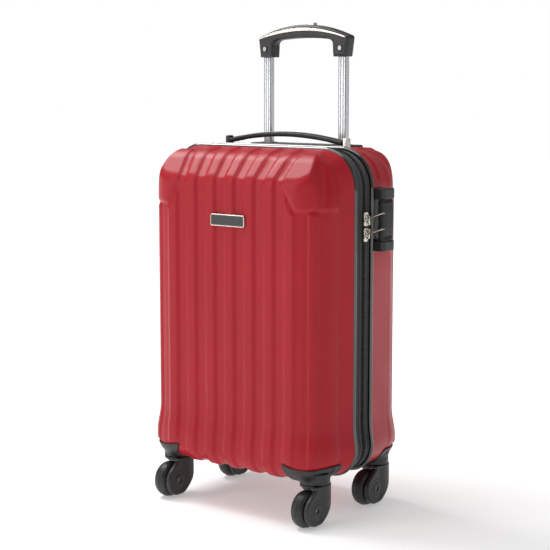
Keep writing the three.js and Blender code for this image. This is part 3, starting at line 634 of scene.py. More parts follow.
# ---------------------------------------------------------------- finishes
class Finish:
    """A Principled material whose nodes read the object's own coordinates."""

    def __init__(self, name, base, roughness, metallic=0.0, **sockets):
        self.material = bpy.data.materials.new(name)
        self.material.use_nodes = True
        self.nodes = self.material.node_tree.nodes
        self.links = self.material.node_tree.links
        self.shader = self.nodes["Principled BSDF"]
        self.base = tuple(base)
        self.shader.inputs["Base Color"].default_value = (*base, 1)
        self.shader.inputs["Roughness"].default_value = roughness
        self.shader.inputs["Metallic"].default_value = metallic
        for socket, value in sockets.items():
            self.shader.inputs[socket.replace("_", " ")].default_value = value
        self.normal = None

    def add(self, kind, **values):
        node = self.nodes.new(kind)
        for key, value in values.items():
            setattr(node, key, value)
        return node

    def place(self, scale=(1, 1, 1), turn=(0, 0, 0), run=False):
        """Coordinates of the object, or of the piece's own run attribute, stretched and turned."""
        mapping = self.add("ShaderNodeMapping")
        mapping.inputs["Scale"].default_value = scale
        mapping.inputs["Rotation"].default_value = turn
        if run:
            source = self.add("ShaderNodeAttribute", attribute_name="run").outputs["Vector"]
        else:
            source = self.add("ShaderNodeTexCoord").outputs["Object"]
        self.links.new(source, mapping.inputs["Vector"])
        return mapping.outputs["Vector"]

    def noise(self, pitch, detail=3.0, **placing):
        node = self.add("ShaderNodeTexNoise")
        node.inputs["Scale"].default_value = pitch
        node.inputs["Detail"].default_value = detail
        self.links.new(self.place(**placing), node.inputs["Vector"])
        return node.outputs["Fac"]

    def waves(self, pitch, direction, distortion=0.0, **placing):
        node = self.add("ShaderNodeTexWave", wave_type="BANDS", bands_direction=direction)
        node.inputs["Scale"].default_value = pitch
        node.inputs["Distortion"].default_value = distortion
        self.links.new(self.place(**placing), node.inputs["Vector"])
        return node.outputs["Fac"]

    def combine(self, operation, a, b):
        node = self.add("ShaderNodeMath", operation=operation)
        for socket, value in zip(node.inputs, (a, b)):
            if isinstance(value, (int, float)):
                socket.default_value = value
            else:
                self.links.new(value, socket)
        return node.outputs["Value"]

    def span(self, factor, low, high, start=0.3, end=0.7):
        """The factor's range from start to end, spread from low to high."""
        node = self.add("ShaderNodeMapRange")
        for key, value in (("From Min", start), ("From Max", end), ("To Min", low), ("To Max", high)):
            node.inputs[key].default_value = value
        self.links.new(factor, node.inputs["Value"])
        return node.outputs["Result"]

    def tint(self, factor, dark=0.85, light=1.12):
        """Lets the colour vary from dark to light times itself."""
        ramp_node = self.add("ShaderNodeValToRGB")
        ends = ramp_node.color_ramp.elements
        ends[0].position, ends[1].position = 0.3, 0.7
        ends[0].color = (*[min(1, c * dark) for c in self.base], 1)
        ends[1].color = (*[min(1, c * light) for c in self.base], 1)
        self.links.new(factor, ramp_node.inputs["Fac"])
        self.links.new(ramp_node.outputs["Color"], self.shader.inputs["Base Color"])
        return self

    def polish(self, factor, low, high):
        """Lets the roughness vary."""
        self.links.new(self.span(factor, low, high), self.shader.inputs["Roughness"])
        return self

    def bump(self, height, strength, distance):
        """Adds a bump on top of those that are there."""
        node = self.add("ShaderNodeBump")
        node.inputs["Strength"].default_value = strength
        node.inputs["Distance"].default_value = distance
        self.links.new(height, node.inputs["Height"])
        if self.normal:
            self.links.new(self.normal, node.inputs["Normal"])
        self.normal = node.outputs["Normal"]
        self.links.new(self.normal, self.shader.inputs["Normal"])
        return self


def shell_finish():
    """Semi-gloss moulded shell with a fine cross grain, faintly uneven in gloss and colour."""
    finish = Finish("shell_red", finishes().shell, 0.36, Specular_IOR_Level=0.24)
    broad = finish.noise(9.0, 2.0)
    finish.tint(broad, 0.95, 1.05).polish(finish.noise(25.0, 2.0), 0.33, 0.39)
    upright = finish.waves(210.0, "X", 1.2)
    level = finish.waves(260.0, "Z", 1.2)
    grain = finish.combine("MULTIPLY", upright, level)
    pebble = finish.noise(900.0, 2.0)
    finish.bump(grain, 0.08, 0.0003).bump(pebble, 0.05, 0.0002)
    return finish.material


def plastic_finish():
    """Satin moulded plastic with a fine spark-eroded grain."""
    finish = Finish("black_plastic", finishes().plastic, 0.42, Specular_IOR_Level=0.5)
    finish.tint(finish.noise(30.0), 0.85, 1.25).polish(finish.noise(150.0, 4.0), 0.36, 0.50)
    return finish.bump(finish.noise(1400.0, 2.0), 0.18, 0.0003).material


def rubber_finish():
    """Soft moulded strap with fine lengthwise grain."""
    finish = Finish("black_rubber", [c * 0.8 for c in finishes().plastic], 0.55)
    finish.tint(finish.noise(45.0), 0.85, 1.2).polish(finish.noise(220.0, 4.0), 0.46, 0.62)
    return finish.bump(finish.noise(1100.0, 3.0), 0.22, 0.0003).material


def wheel_finish():
    """Smooth tread with fine turned lines and scuffs."""
    finish = Finish("wheel_black", [c * 0.8 for c in finishes().plastic], 0.4)
    scuffs = finish.noise(120.0, 5.0, scale=(3, 1, 1))
    finish.tint(scuffs, 0.8, 1.4).polish(scuffs, 0.32, 0.52)
    return finish.bump(finish.waves(330.0, "X", 0.3), 0.12, 0.0002).material


def piping_finish():
    """Glossy extruded edging, a little wavy as it was sewn in."""
    finish = Finish("piping_black", finishes().piping, 0.12, IOR=1.6, Coat_Weight=1.0, Coat_Roughness=0.08)
    finish.tint(finish.noise(40.0), 0.9, 1.2).polish(finish.noise(90.0), 0.10, 0.20)
    return finish.bump(finish.noise(50.0, 2.0), 0.05, 0.0005).material


def woven_finish(name, base, threads, depth, roughness=0.88):
    """Plain weave along the piece's run: two sets of threads, with loose fibres between them."""
    finish = Finish(name, base, roughness, Sheen_Weight=0.25, Sheen_Roughness=0.5)
    warp = finish.waves(threads, "X", 0.4, run=True)
    weft = finish.waves(threads, "Y", 0.4, run=True)
    weave = finish.combine("MAXIMUM", warp, weft)
    finish.tint(finish.combine("MULTIPLY", weave, finish.noise(300.0, run=True)), 0.7, 1.5)
    finish.bump(weave, 0.5, depth).bump(finish.noise(1500.0, run=True), 0.3, depth)
    return finish.material


def lining_finish():
    """Thin ribbed lining cloth."""
    finish = Finish("lining_cloth", finishes().lining, 0.8, Sheen_Weight=0.35, Sheen_Roughness=0.4)
    ribs = finish.waves(140.0, "DIAGONAL", 0.5)
    finish.tint(finish.noise(14.0, 4.0), 0.85, 1.15)
    finish.bump(ribs, 0.3, 0.0005).bump(finish.noise(26.0, 3.0), 0.35, 0.004)
    return finish.material


def coil_finish():
    """Nylon coil with a satin shine."""
    finish = Finish("coil_black", [c * 1.6 for c in finishes().piping], 0.3)
    return finish.tint(finish.noise(400.0), 0.8, 1.4).polish(finish.noise(300.0), 0.24, 0.4).material


def tube_finish():
    """Satin anodised aluminium with drawing lines along the tube."""
    finish = Finish("tube_aluminium", finishes().aluminium, 0.3, 1.0)
    drawn = finish.noise(900.0, 2.0, scale=(1, 1, 0.006))
    finish.tint(drawn, 0.93, 1.05).polish(drawn, 0.24, 0.36)
    return finish.bump(drawn, 0.12, 0.0002).material


def nickel_finish():
    """Polished nickel plate with hairlines and a few dull patches."""
    finish = Finish("nickel", finishes().nickel, 0.18, 1.0)
    finish.tint(finish.noise(60.0), 0.9, 1.06).polish(finish.noise(200.0, 4.0), 0.13, 0.30)
    return finish.bump(finish.noise(1200.0, 2.0, scale=(1, 1, 0.1)), 0.08, 0.0002).material


def steel_finish():
    """Zinc-plated steel."""
    finish = Finish("zinc_steel", (0.42, 0.42, 0.42), 0.36, 1.0)
    return finish.tint(finish.noise(300.0), 0.85, 1.1).polish(finish.noise(500.0), 0.28, 0.45).material


def enamel_finish():
    """Dark enamel of the badge, with fine brushed lines."""
    finish = Finish("badge_enamel", (0.022, 0.023, 0.023), 0.28, 0.2, Coat_Weight=0.4, Coat_Roughness=0.1)
    lines = finish.noise(700.0, 2.0, scale=(0.02, 1, 1))
    return finish.tint(lines, 0.8, 1.5).bump(lines, 0.1, 0.0002).material


MAKERS = {
    "shell": shell_finish, "plastic": plastic_finish, "rubber": rubber_finish, "wheel": wheel_finish,
    "piping": piping_finish, "lining": lining_finish, "coil": coil_finish, "tube": tube_finish,
    "nickel": nickel_finish, "steel": steel_finish, "enamel": enamel_finish,
    "tape": lambda: woven_finish("tape_fabric", finishes().fabric, 420.0, 0.0004),
    "hinge": lambda: woven_finish("hinge_fabric", finishes().fabric, 300.0, 0.0005),
}
made = {}


def finish(word):
    """The material of that name, made the first time that it is asked for."""
    if word not in made:
        made[word] = MAKERS[word]()
    return made[word]


# ---------------------------------------------------------------- shells and linings
def build_shells():
    """Each shell is a tray: rays from a rectangle inside it meet the shell's distance formula,
    with the relief outside and without it inside, one wall further in."""
    sizes = shell_sizes()
    reach, foot = 0.126, BOTTOM + 0.028
    xs = band_samples(reach)
    for side, node, body in ((FRONT, "front_shell", "lid"), (REAR, "rear_shell", "rear_case")):
        rim, inner_depth = RIM[side], face_depth() - 0.045
        high = sizes.crease if side == FRONT else TOP - 0.042
        zs = height_samples(foot, high, 0.445, 0.0075, 0.0015)
        corner_steps = 32
        depths = np.linspace(rim, inner_depth, 15 if side == FRONT else 30)
        turns = np.linspace(0, 1, 41)[1:]
        coarse_depths = np.linspace(rim, inner_depth, 5)
        fine = (xs, zs, corner_steps, depths, turns)
        coarse = (xs[::4], zs[::4], corner_steps // 4, coarse_depths, np.linspace(0, 1, 9)[1:])

        def outer(x, y, z):
            return shell_body(x, y, z, side) - relief(x, y, z, side)

        def inner(x, y, z):
            return shell_body(x, y, z, side) + sizes.wall

        shell = tray(f"shell_{node.split('_')[0]}", side, finish("shell"), outer, inner, fine, coarse)
        if side == REAR:
            cut_tube_holes(shell)
        settle(shell, body, "shell_red", node)


def cut_tube_holes(shell):
    """Opens the roof of the rear shell where the trolley tubes come through."""
    room = 0.0008
    for hand in ("left", "right"):
        low, high = node_box(f"tube_outer_{hand}")
        middle, half = (low + high) / 2, (high - low) / 2 + room
        outline = tube_outline(half[0], half[1], fittings().tube_corner, 0.0)
        grid = np.empty((2, len(outline), 3))
        grid[..., :2] = outline + middle[:2]
        grid[0, :, 2], grid[1, :, 2] = TOP - 0.040, TOP + 0.040
        cutter = carried(f"hole_{hand}", grid, finish("plastic"))
        cut = shell.modifiers.new("hole", "BOOLEAN")
        cut.operation = "DIFFERENCE"
        cut.solver = "EXACT"
        cut.object = cutter
        shape = shell.evaluated_get(bpy.context.evaluated_depsgraph_get())
        opened = bpy.data.meshes.new_from_object(shape)
        shell.modifiers.remove(cut)
        shell.data = opened
        bpy.data.objects.remove(cutter)


def build_linings():
    """Each lining is a tray one gap inside its shell. The rear one has a flat back in front of
    the trolley tubes."""
    sizes = shell_sizes()
    for side, node, body in ((FRONT, "front_lining", "lid"), (REAR, "rear_lining", "rear_case")):
        low, high = node_box(node)
        back = max(abs(low[1]), abs(high[1]))
        gap = sizes.wall + 0.001
        thick = 0.0012
        inner_depth = back - 0.030
        xs = np.linspace(-0.120, 0.120, 41)
        zs = np.linspace(BOTTOM + 0.034, TOP - 0.062, 61)
        samples = (xs, zs, 12, np.linspace(RIM[side], inner_depth, 9), np.linspace(0, 1, 13)[1:])

        def cloth(inset):
            def field(x, y, z):
                tucks = 0.0004 * np.cos(x * 180) * np.cos(z * 150)
                body_distance = shell_body(x, y, z, side) + inset + tucks
                return round_max(body_distance, side * y - back + inset - gap, 0.012)
            return field

        lining = tray(f"lining_{node.split('_')[0]}", side, finish("lining"), cloth(gap + 0.0004),
                      cloth(gap + 0.0004 + thick), samples, samples)
        settle(lining, body, "lining_fabric", node)


# ---------------------------------------------------------------- gusset
def rim_path(side, corner_steps=28, step=0.006):
    """The shell's outline at its rim: points, outward normals and the length so far."""
    reach, foot, high = half_width() - 0.06, BOTTOM + 0.05, TOP - 0.062
    xs = np.linspace(-reach, reach, round(2 * reach / step))
    zs = np.linspace(foot, high, round((high - foot) / step))
    start, out = loop_rays(xs, zs, corner_steps)
    depth = side * RIM[side]
    origin = np.stack([start[:, 0], np.full(len(start), depth), start[:, 1]], -1)
    direction = np.stack([out[:, 0], np.zeros(len(out)), out[:, 1]], -1)
    points = cast(origin, direction, lambda x, y, z: shell_body(x, y, z, side))[:, [0, 2]]
    tangent = np.roll(points, -1, 0) - np.roll(points, 1, 0)
    tangent /= np.linalg.norm(tangent, axis=1)[:, None]
    normal = np.stack([tangent[:, 1], -tangent[:, 0]], -1)
    steps = np.linalg.norm(np.diff(points, axis=0, append=points[:1]), axis=1)
    return points, normal, np.concatenate([[0], np.cumsum(steps)[:-1]])


def along_rim(path, out, y):
    """A profile of (out, y) points carried along a rim path."""
    points, normal, _ = path
    grid = np.empty((len(points), len(out), 3))
    grid[..., 0] = points[:, 0, None] + normal[:, 0, None] * out
    grid[..., 1] = y
    grid[..., 2] = points[:, 1, None] + normal[:, 1, None] * out
    return grid


def build_piping():
    """A bead round each rim: a superellipse stood on its corner, so that its soft flats face
    outward and to the side, carried along the outline."""
    turn = np.radians(np.arange(0, 360, 15))
    power = 0.75
    for node, side, body in (("front_piping", FRONT, "lid"), ("rear_piping", REAR, "rear_case")):
        low, high = node_box(node)
        half, middle = (high[1] - low[1]) / 2, (high[1] + low[1]) / 2
        tall = (fittings().piping_proud + shell_sizes().wall) / 2
        cos, sin = (np.sign(f) * np.abs(f) ** power for f in (np.cos(turn), np.sin(turn)))
        reach = np.abs(cos + sin).max()
        y = middle + half * (cos + sin) / reach
        out = tall * (sin - cos) / reach
        bead = along_rim(rim_path(side), out + fittings().piping_proud - tall, y)
        piece = carried(f"piping_{node.split('_')[0]}_bead", bead, finish("piping"), loop=True)
        settle(piece, body, "piping_black", node)


def tape_profile(start, end, seam_at_start):
    """A flat tape whose outer face has two raised seams near its sewn edge and a fold near the
    zip, as (out, y) points round it."""
    inset, thick = 0.0014, 0.0014
    across = np.linspace(0, 1, 34)
    from_seam = across if seam_at_start else 1 - across
    width = abs(end - start)
    distance = from_seam * width
    rise = sum(0.00045 * np.exp(-(((distance - at) / 0.0006) ** 2)) for at in (0.0022, 0.0046))
    rise = rise + 0.0006 * np.exp(-(((distance - width * 0.62) / 0.0016) ** 2))
    rise = rise - 0.0005 * ramp(distance, width - 0.004, width - 0.0005)
    y = start + (end - start) * across
    outer = np.stack([-inset + rise - 0.0003, y], -1)
    inner = np.stack([np.full(8, -inset - thick), np.linspace(end, start, 8)], -1)
    return np.vstack([outer, inner])


def build_tapes():
    """The two tapes of the gusset, each a seamed profile carried along the rim."""
    for node, side, body in (("zip_tape_front", FRONT, "lid"), ("zip_tape_rear", REAR, "rear_case")):
        low, high = node_box(node)
        profile = tape_profile(low[1], high[1], side == FRONT)
        path = rim_path(side)
        grid = along_rim(path, profile[:, 0], profile[:, 1])
        run = np.empty((*grid.shape[:2], 2))
        run[..., 0] = path[2][:, None]
        run[..., 1] = profile[:, 1]
        piece = carried(f"tape_{'front' if side == FRONT else 'rear'}", grid, finish("tape"),
                        loop=True, run=run.reshape(-1, 2))
        settle(piece, body, "tape_fabric", node)


def build_hinge():
    """The fabric hinge on the left: a soft strip over both tapes."""
    low, high = node_box("hinge_strip")
    front_low, _ = node_box("zip_tape_front")
    across = np.linspace(front_low[1] + 0.0006, high[1], 36)
    rows = np.linspace(low[2], high[2], 90)
    swell = 0.0004 * np.sin(np.linspace(0, np.pi, len(across))) ** 2
    ribs = 0.00018 * np.cos(across * 2 * np.pi / 0.0021)
    outer = np.stack([low[0] - swell - ribs + 0.0004, across], -1)
    inner = np.stack([np.full(len(across), high[0]), across[::-1]], -1)
    profile = np.vstack([outer, inner])
    grid = np.empty((len(rows), len(profile), 3))
    grid[..., 0] = profile[:, 0]
    grid[..., 1] = profile[:, 1]
    grid[..., 2] = rows[:, None]
    run = np.stack(np.broadcast_arrays(rows[:, None], profile[:, 1]), -1).reshape(-1, 2)
    piece = carried("hinge_fabric", grid, finish("hinge"), run=run)
    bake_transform(piece)
    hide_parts("hinge_strip")


def build_coils():
    """Two rows of zip coil: a small rounded bar for each tooth, one pitch apart along the rim and
    half a pitch out of step with the other row. They stop where the hinge begins."""
    pitch = fittings().coil_pitch
    hinge_low, hinge_high = node_box("hinge_strip")
    for node, body, phase in (("zip_coil_front", "lid", 0.0), ("zip_coil_rear", "rear_case", 0.5)):
        low, high = node_box(node)
        points, normal, run = rim_path(FRONT)
        total = run[-1] + np.linalg.norm(points[0] - points[-1])
        at = (np.arange(int(total / pitch)) + phase) * pitch
        place = np.stack([np.interp(at, np.append(run, total), np.append(points[:, k], points[0, k]))
                          for k in (0, 1)], -1)
        out = np.stack([np.interp(at, np.append(run, total), np.append(normal[:, k], normal[0, k]))
                        for k in (0, 1)], -1)
        out /= np.linalg.norm(out, axis=1)[:, None]
        at_hinge = (place[:, 0] < 0) & (place[:, 1] > hinge_low[2] - 0.004)
        at_hinge &= place[:, 1] < hinge_high[2] + 0.004
        place, out = place[~at_hinge], out[~at_hinge]
        tangent = np.stack([-out[:, 1], out[:, 0]], -1)

        middle, half = (low[1] + high[1]) / 2, (high[1] - low[1]) / 2
        inset, tall = 0.0011, 0.0015
        across = np.array([-1, -0.85, 0.85, 1]) * half
        width = np.array([0.55, 1, 1, 0.55])
        corner = np.radians(np.arange(30, 390, 60))
        lift = -inset + tall / 2 + tall / 2 * width[:, None] * np.sin(corner)
        side_step = 0.42 * pitch * width[:, None] * np.cos(corner)
        teeth = np.empty((len(place), len(across), len(corner), 3))
        for row, column in ((0, 0), (2, 1)):
            teeth[..., row] = (place[:, column, None, None] + out[:, column, None, None] * lift
                               + tangent[:, column, None, None] * side_step)
        teeth[..., 1] = middle + across[:, None]
        one = grid_faces(len(across), len(corner), loop_columns=True)
        size = len(across) * len(corner)
        sides = (one[None] + size * np.arange(len(place))[:, None, None]).reshape(-1, 4)
        ring = np.arange(len(corner))
        ends = np.concatenate([ring[None, ::-1], ring[None] + size - len(corner)])
        caps = (ends[None] + size * np.arange(len(place))[:, None, None]).reshape(-1, len(corner))
        name = f"coil_{node.split('_')[-1]}"
        piece = make_piece(name, teeth.reshape(-1, 3), sides.tolist() + caps.tolist(),
                           finish("coil"), sharp=60)
        flip_if_inside_out(piece)
        settle(piece, body, "coil_black", node)


def flip_if_inside_out(piece):
    """Turns the faces round if they enclose a negative volume."""
    body = bmesh.new()
    body.from_mesh(piece.data)
    if body.calc_volume(signed=True) < 0:
        bmesh.ops.reverse_faces(body, faces=body.faces)
        body.to_mesh(piece.data)
    body.free()


def build_sliders():
    """Each slider: a rounded plate with a waist, an arched bridge for the pull and an ear with a
    hole for a padlock. The pull is a flat bar with an eye, a raised border and a rounded end."""
    for word, hand in (("upper", 1), ("lower", -1)):
        low, high = node_box(f"{word}_zip_slider")
        base = low[0]
        pivot = joint_point(f"{word}_pull_swing")
        middle_y, middle_z = pivot[1], (low[2] + high[2]) / 2
        half_y, half_z = (high[1] - low[1]) / 2, (high[2] - low[2]) / 2
        plate = 0.003

        def field(x, y, z):
            across, along = y - middle_y, z - middle_z
            waist = 0.0011 * np.exp(-((along / 0.004) ** 2))
            sole = rounded_box(across, along, half_y - waist, half_z, 0.004)
            body = round_max(sole, slab(x, base, base + plate), 0.0008)
            groove = np.maximum(np.abs(x - base - plate / 2) - 0.0004, -sole - 0.0012)
            body = round_max(body, -groove, 0.0002)
            rise = x - base - plate
            arch = rounded_box(rise, along, 0.0054, 0.0062, 0.0022)
            hole = rounded_box(rise - 0.0018, along, 0.0026, 0.0026, 0.001)
            bridge = round_max(round_max(arch, -hole, 0.0004), np.abs(across) - 0.0015, 0.0006)
            bridge = np.maximum(bridge, -rise - 0.001)
            ear_along = along + hand * 0.006
            ear = rounded_box(rise + plate / 2 - 0.0014, ear_along, 0.0036, 0.0031, 0.0013)
            bore = np.hypot(rise - 0.0018, ear_along) - 0.0011
            ear = round_max(round_max(ear, -bore, 0.0002), slab(across, 0.0026, 0.0049), 0.0004)
            return round_min(round_min(body, bridge, 0.0006), ear, 0.0005)

        slider = skin(f"slider_{word}", field, low - 0.0004, high + [0.001, 0.0004, 0.0004], 0.0003,
                      finish("nickel"))
        settle(slider, f"{word}_slider", "nickel", f"{word}_zip_slider")

        pull_low, pull_high = node_box(f"{word}_zip_pull")
        tilt = math.radians(20)
        reach = (pull_high[0] - pull_low[0]) / math.cos(tilt) - 0.0012

        def bar(x, y, z):
            dx, dz = x - pivot[0], z - pivot[2]
            along = dx * math.cos(tilt) + dz * math.sin(tilt)
            lift = -dx * math.sin(tilt) + dz * math.cos(tilt)
            across = y - pivot[1]
            centre = reach / 2 - 0.0008
            flat = rounded_box(along - centre, across, reach / 2, 0.004, 0.003)
            eye = rounded_box(along - 0.0033, across, 0.0035, 0.0025, 0.001)
            thin = fittings().pull_half - 0.00018 * ramp(-flat, 0.0006, 0.0012) * ramp(along, 0.0085, 0.0095)
            return round_max(round_max(flat, -eye, 0.0002), np.abs(lift) - thin, 0.0003)

        pull = skin(f"pull_{word}", bar, pull_low - 0.0006, pull_high + 0.0006, 0.00028, finish("nickel"))
        settle(pull, f"{word}_pull", "nickel", f"{word}_zip_pull")


def build_badge():
    """The badge: a rounded nickel frame with a blank dark plate set into it."""
    low, high = node_box("badge")
    half_x, half_z = (high[0] - low[0]) / 2, (high[2] - low[2]) / 2
    middle_z = (high[2] + low[2]) / 2
    rim, sunk = 0.0017, 0.0008

    def frame_field(x, y, z):
        plate = rounded_box(x, z - middle_z, half_x, half_z, 0.003)
        body = round_max(plate, slab(y, low[1], high[1]), 0.0006)
        pocket = np.maximum(plate + rim, y - low[1] - sunk)
        return round_max(body, -pocket, 0.0002)

    def plate_field(x, y, z):
        plate = rounded_box(x, z - middle_z, half_x - rim - 0.0001, half_z - rim - 0.0001, 0.0014)
        dish = 0.0002 * ramp(-plate, 0.0, 0.001)
        return round_max(plate, slab(y, low[1] + sunk - 0.0005 - dish, low[1] + sunk + 0.0012), 0.0002)

    settle(skin("badge_frame", frame_field, low - 0.0005, high + 0.0005, 0.0005, finish("nickel")),
           "lid", "nickel", "badge")
    inset = np.array([rim, -0.0005, rim])
    settle(skin("badge_plate", plate_field, low + inset, high - inset, 0.0005, finish("enamel")),
           "lid", "black_plastic")


# ---------------------------------------------------------------- casters
def tapered(y, z, start, start_radius, end, end_radius):
    """Distance to the hull of two circles."""
    along = np.array(end) - start
    span = math.hypot(*along)
    along = along / span
    dy, dz = y - start[0], z - start[1]
    h = dy * along[0] + dz * along[1]
    off = np.abs(dy * along[1] - dz * along[0])
    lean = (start_radius - end_radius) / span
    level = math.sqrt(1 - lean * lean)
    t = h - off * lean / level
    middle = off * level + h * lean - start_radius
    near = np.hypot(h, off) - start_radius
    beyond = np.hypot(h - span, off) - end_radius
    return np.where(t < 0, near, np.where(t > span, beyond, middle))


def fork_field(top):
    """Distance to a fork that stands on nought: a round housing cut away over the wheel, whose
    one arm runs down beside the wheel and ends in a disc with a hub."""
    sizes = fittings()
    radius, width, arm = sizes.wheel_radius, sizes.wheel_width, sizes.arm
    trail = 0.022
    inner = width / 2 + sizes.wheel_gap
    outer = inner + arm
    disc_radius = radius - sizes.disc_inset

    def field(x, y, z):
        silhouette = tapered(y, z, (-trail, radius), disc_radius, (0.0, 0.048), sizes.housing_radius)
        column = np.maximum(np.abs(y) - sizes.housing_radius, 0.040 - z)
        silhouette = np.minimum(silhouette, column)
        housing = np.maximum(np.hypot(x, y) - sizes.housing_radius, silhouette)
        plan = np.hypot(x, np.maximum(y, 0)) - sizes.housing_radius
        side = round_max(round_max(silhouette, slab(x, inner, outer), 0.003), plan, 0.002)
        from_axle = np.hypot(y + trail, z - radius)
        dish = 0.0006 * np.exp(-(((from_axle - 0.0165) / 0.0009) ** 2))
        side = side + dish * (x > inner + arm / 2)
        body = round_min(housing, side, 0.004)
        hub = round_max(from_axle - 0.009, slab(x, inner + 0.001, outer + 0.001), 0.0012)
        body = round_min(body, hub, 0.0015)
        well = np.maximum(from_axle - radius - 0.0022, x - inner)
        mouth = np.maximum(x - inner, z - radius - 0.007)
        body = round_max(round_max(body, -well, 0.0012), -mouth, 0.0012)
        body = round_max(body, z - top, 0.0008)
        axle = from_axle - 0.0033
        bore = np.maximum(np.hypot(x, y) - 0.0061, z - top + 0.0075)
        shaft = np.hypot(x, y) - 0.0043
        body = np.maximum(body, -np.minimum(axle, np.minimum(bore, shaft)))
        return body

    return field


def wheel_points(centre):
    """A wheel turned about x: a round-shouldered tread, a dished side and a raised hub ring."""
    sizes = fittings()
    radius, half = sizes.wheel_radius, sizes.wheel_width / 2
    shoulder = np.radians(np.linspace(0, 90, 12))
    crown = 0.0009
    round_edge = 0.0075
    edge_x = half - round_edge + round_edge * np.cos(shoulder[::-1])[::-1]
    edge_r = radius - crown - round_edge + round_edge * np.sin(shoulder)
    side = [(half, 0.0193), (half - 0.0012, 0.0186), (half - 0.0022, 0.0176), (half - 0.0024, 0.0150),
            (half - 0.0022, 0.0124), (half - 0.0008, 0.0114), (half, 0.0106), (half, 0.0060),
            (half - 0.0006, 0.0046), (half - 0.0014, 0.0035)]
    right = np.array(side[::-1] + list(zip(edge_x, edge_r)))
    tread_x = np.linspace(half - round_edge, -half + round_edge, 9)[1:-1]
    tread = np.stack([tread_x, radius - crown * (tread_x / (half - round_edge)) ** 2], -1)
    left = right[::-1] * [-1, 1]
    profile = np.vstack([right, tread, left])
    turn = np.radians(np.arange(0, 360, 5))
    grid = np.empty((len(turn), len(profile), 3))
    grid[..., 0] = centre[0] + profile[:, 0]
    grid[..., 1] = centre[1] + np.cos(turn)[:, None] * profile[:, 1]
    grid[..., 2] = centre[2] + np.sin(turn)[:, None] * profile[:, 1]
    return grid


def bracket_field(side, hand, swivel, top):
    """Distance to a bracket: a plate that follows the shell over the corner, cut to a hollow
    upper edge and rounded ends, joined to the round housing under the shell."""
    sizes = fittings()
    low, high = node_box("caster_bracket_front_right")
    inner, wing = low[0], -high[1]
    clear = 0.0003

    def field(x, y, z):
        depth = side * y
        across = hand * x
        shell = shell_body(x, y, z, side)
        lean = 0.42
        end = (inner - across + (z - 0.090) * -lean) / math.hypot(1, lean)
        zone = round_max(end, z - bracket_top(x), 0.005)
        zone = round_max(zone, wing - depth, 0.006)
        plate = round_max(zone, shell - sizes.bracket_proud, 0.0014)
        from_pin = np.hypot(x - swivel[0], y - swivel[1])
        housing = round_max(from_pin - sizes.housing_radius, slab(z, top + 0.0006, BOTTOM + 0.014), 0.0008)
        body = round_min(plate, housing, 0.004)
        slot = rounded_box(across - 0.154, z - 0.081, 0.005, 0.0019, 0.001)
        slot = np.maximum(slot, shell * -1 + 0.0012)
        screw = np.hypot(depth - 0.070, z - 0.083) - 0.0028
        screw = np.maximum(np.maximum(screw, 0.150 - across), 0.0014 - shell)
        body = np.maximum(body, -np.minimum(slot, screw))
        body = np.maximum(body, clear - shell)
        return np.maximum(body, 0.0043 - from_pin)

    return field


def build_casters():
    """Four casters: bracket, fork and wheel, with the steel axle and pin of the frame."""
    sizes = fittings()
    reach = sizes.wheel_radius + 0.026
    for place in PLACES:
        swivel = joint_point(f"caster_swivel_{place}")
        axle = joint_point(f"wheel_spin_{place}")
        _, fork_high = node_box(f"caster_fork_{place}")
        top = fork_high[2]
        side = FRONT if "front" in place else REAR
        hand = -1 if "left" in place else 1
        shape = fork_field(top)

        def placed(x, y, z, shape=shape, swivel=swivel):
            return shape(x - swivel[0], y - swivel[1], z)

        fork_low = np.array([swivel[0] - 0.024, swivel[1] - reach, 0.001])
        fork = skin(f"fork_{place}", placed, fork_low, [swivel[0] + 0.024, swivel[1] + 0.024, top + 0.001],
                    0.0009, finish("plastic"))
        settle(fork, f"caster_{place}", "black_plastic", f"caster_fork_{place}")

        wheel = carried(f"tread_{place}", wheel_points(axle), finish("wheel"), loop=True)
        settle(wheel, f"wheel_{place}", "wheel_black", f"wheel_{place}")

        low, high = node_box(f"caster_bracket_{place}")
        parent = "lid" if side == FRONT else "rear_case"
        bracket = skin(f"bracket_{place}", bracket_field(side, hand, swivel, top), low - 0.001, high + 0.001,
                       0.0009, finish("plastic"))
        settle(bracket, parent, "black_plastic", f"caster_bracket_{place}")


# ---------------------------------------------------------------- trolley
def tube_outline(half_x, half_y, radius, groove):
    """A rounded rectangle with two shallow grooves along its front and back and one along each
    side, as points round it."""
    turn = np.radians(np.linspace(0, 90, 7))
    corners = []
    for sx, sy, begin in ((1, -1, -90), (1, 1, 0), (-1, 1, 90), (-1, -1, 180)):
        angle = turn + math.radians(begin)
        corners.append(np.stack([sx * (half_x - radius) + radius * np.cos(angle),
                                 sy * (half_y - radius) + radius * np.sin(angle)], -1))
    points = []
    for one, following in zip(corners, corners[1:] + corners[:1]):
        t = np.linspace(0, 1, 26)[1:-1, None]
        points += [one, one[-1] * (1 - t) + following[0] * t]
    outline = np.vstack(points)
    x, y = outline.T
    width = 0.0007
    on_face = sum(np.exp(-(((np.abs(x) - at) / width) ** 2)) for at in (0.30 * half_x,))
    face_share = ramp(np.abs(y), half_y - radius * 0.5, half_y - radius * 0.1)
    on_side = np.exp(-((y / width) ** 2)) * ramp(np.abs(x), half_x - radius * 0.5, half_x - radius * 0.1)
    outline[:, 1] -= np.sign(y) * groove * on_face * face_share
    outline[:, 0] -= np.sign(x) * groove * on_side
    return outline


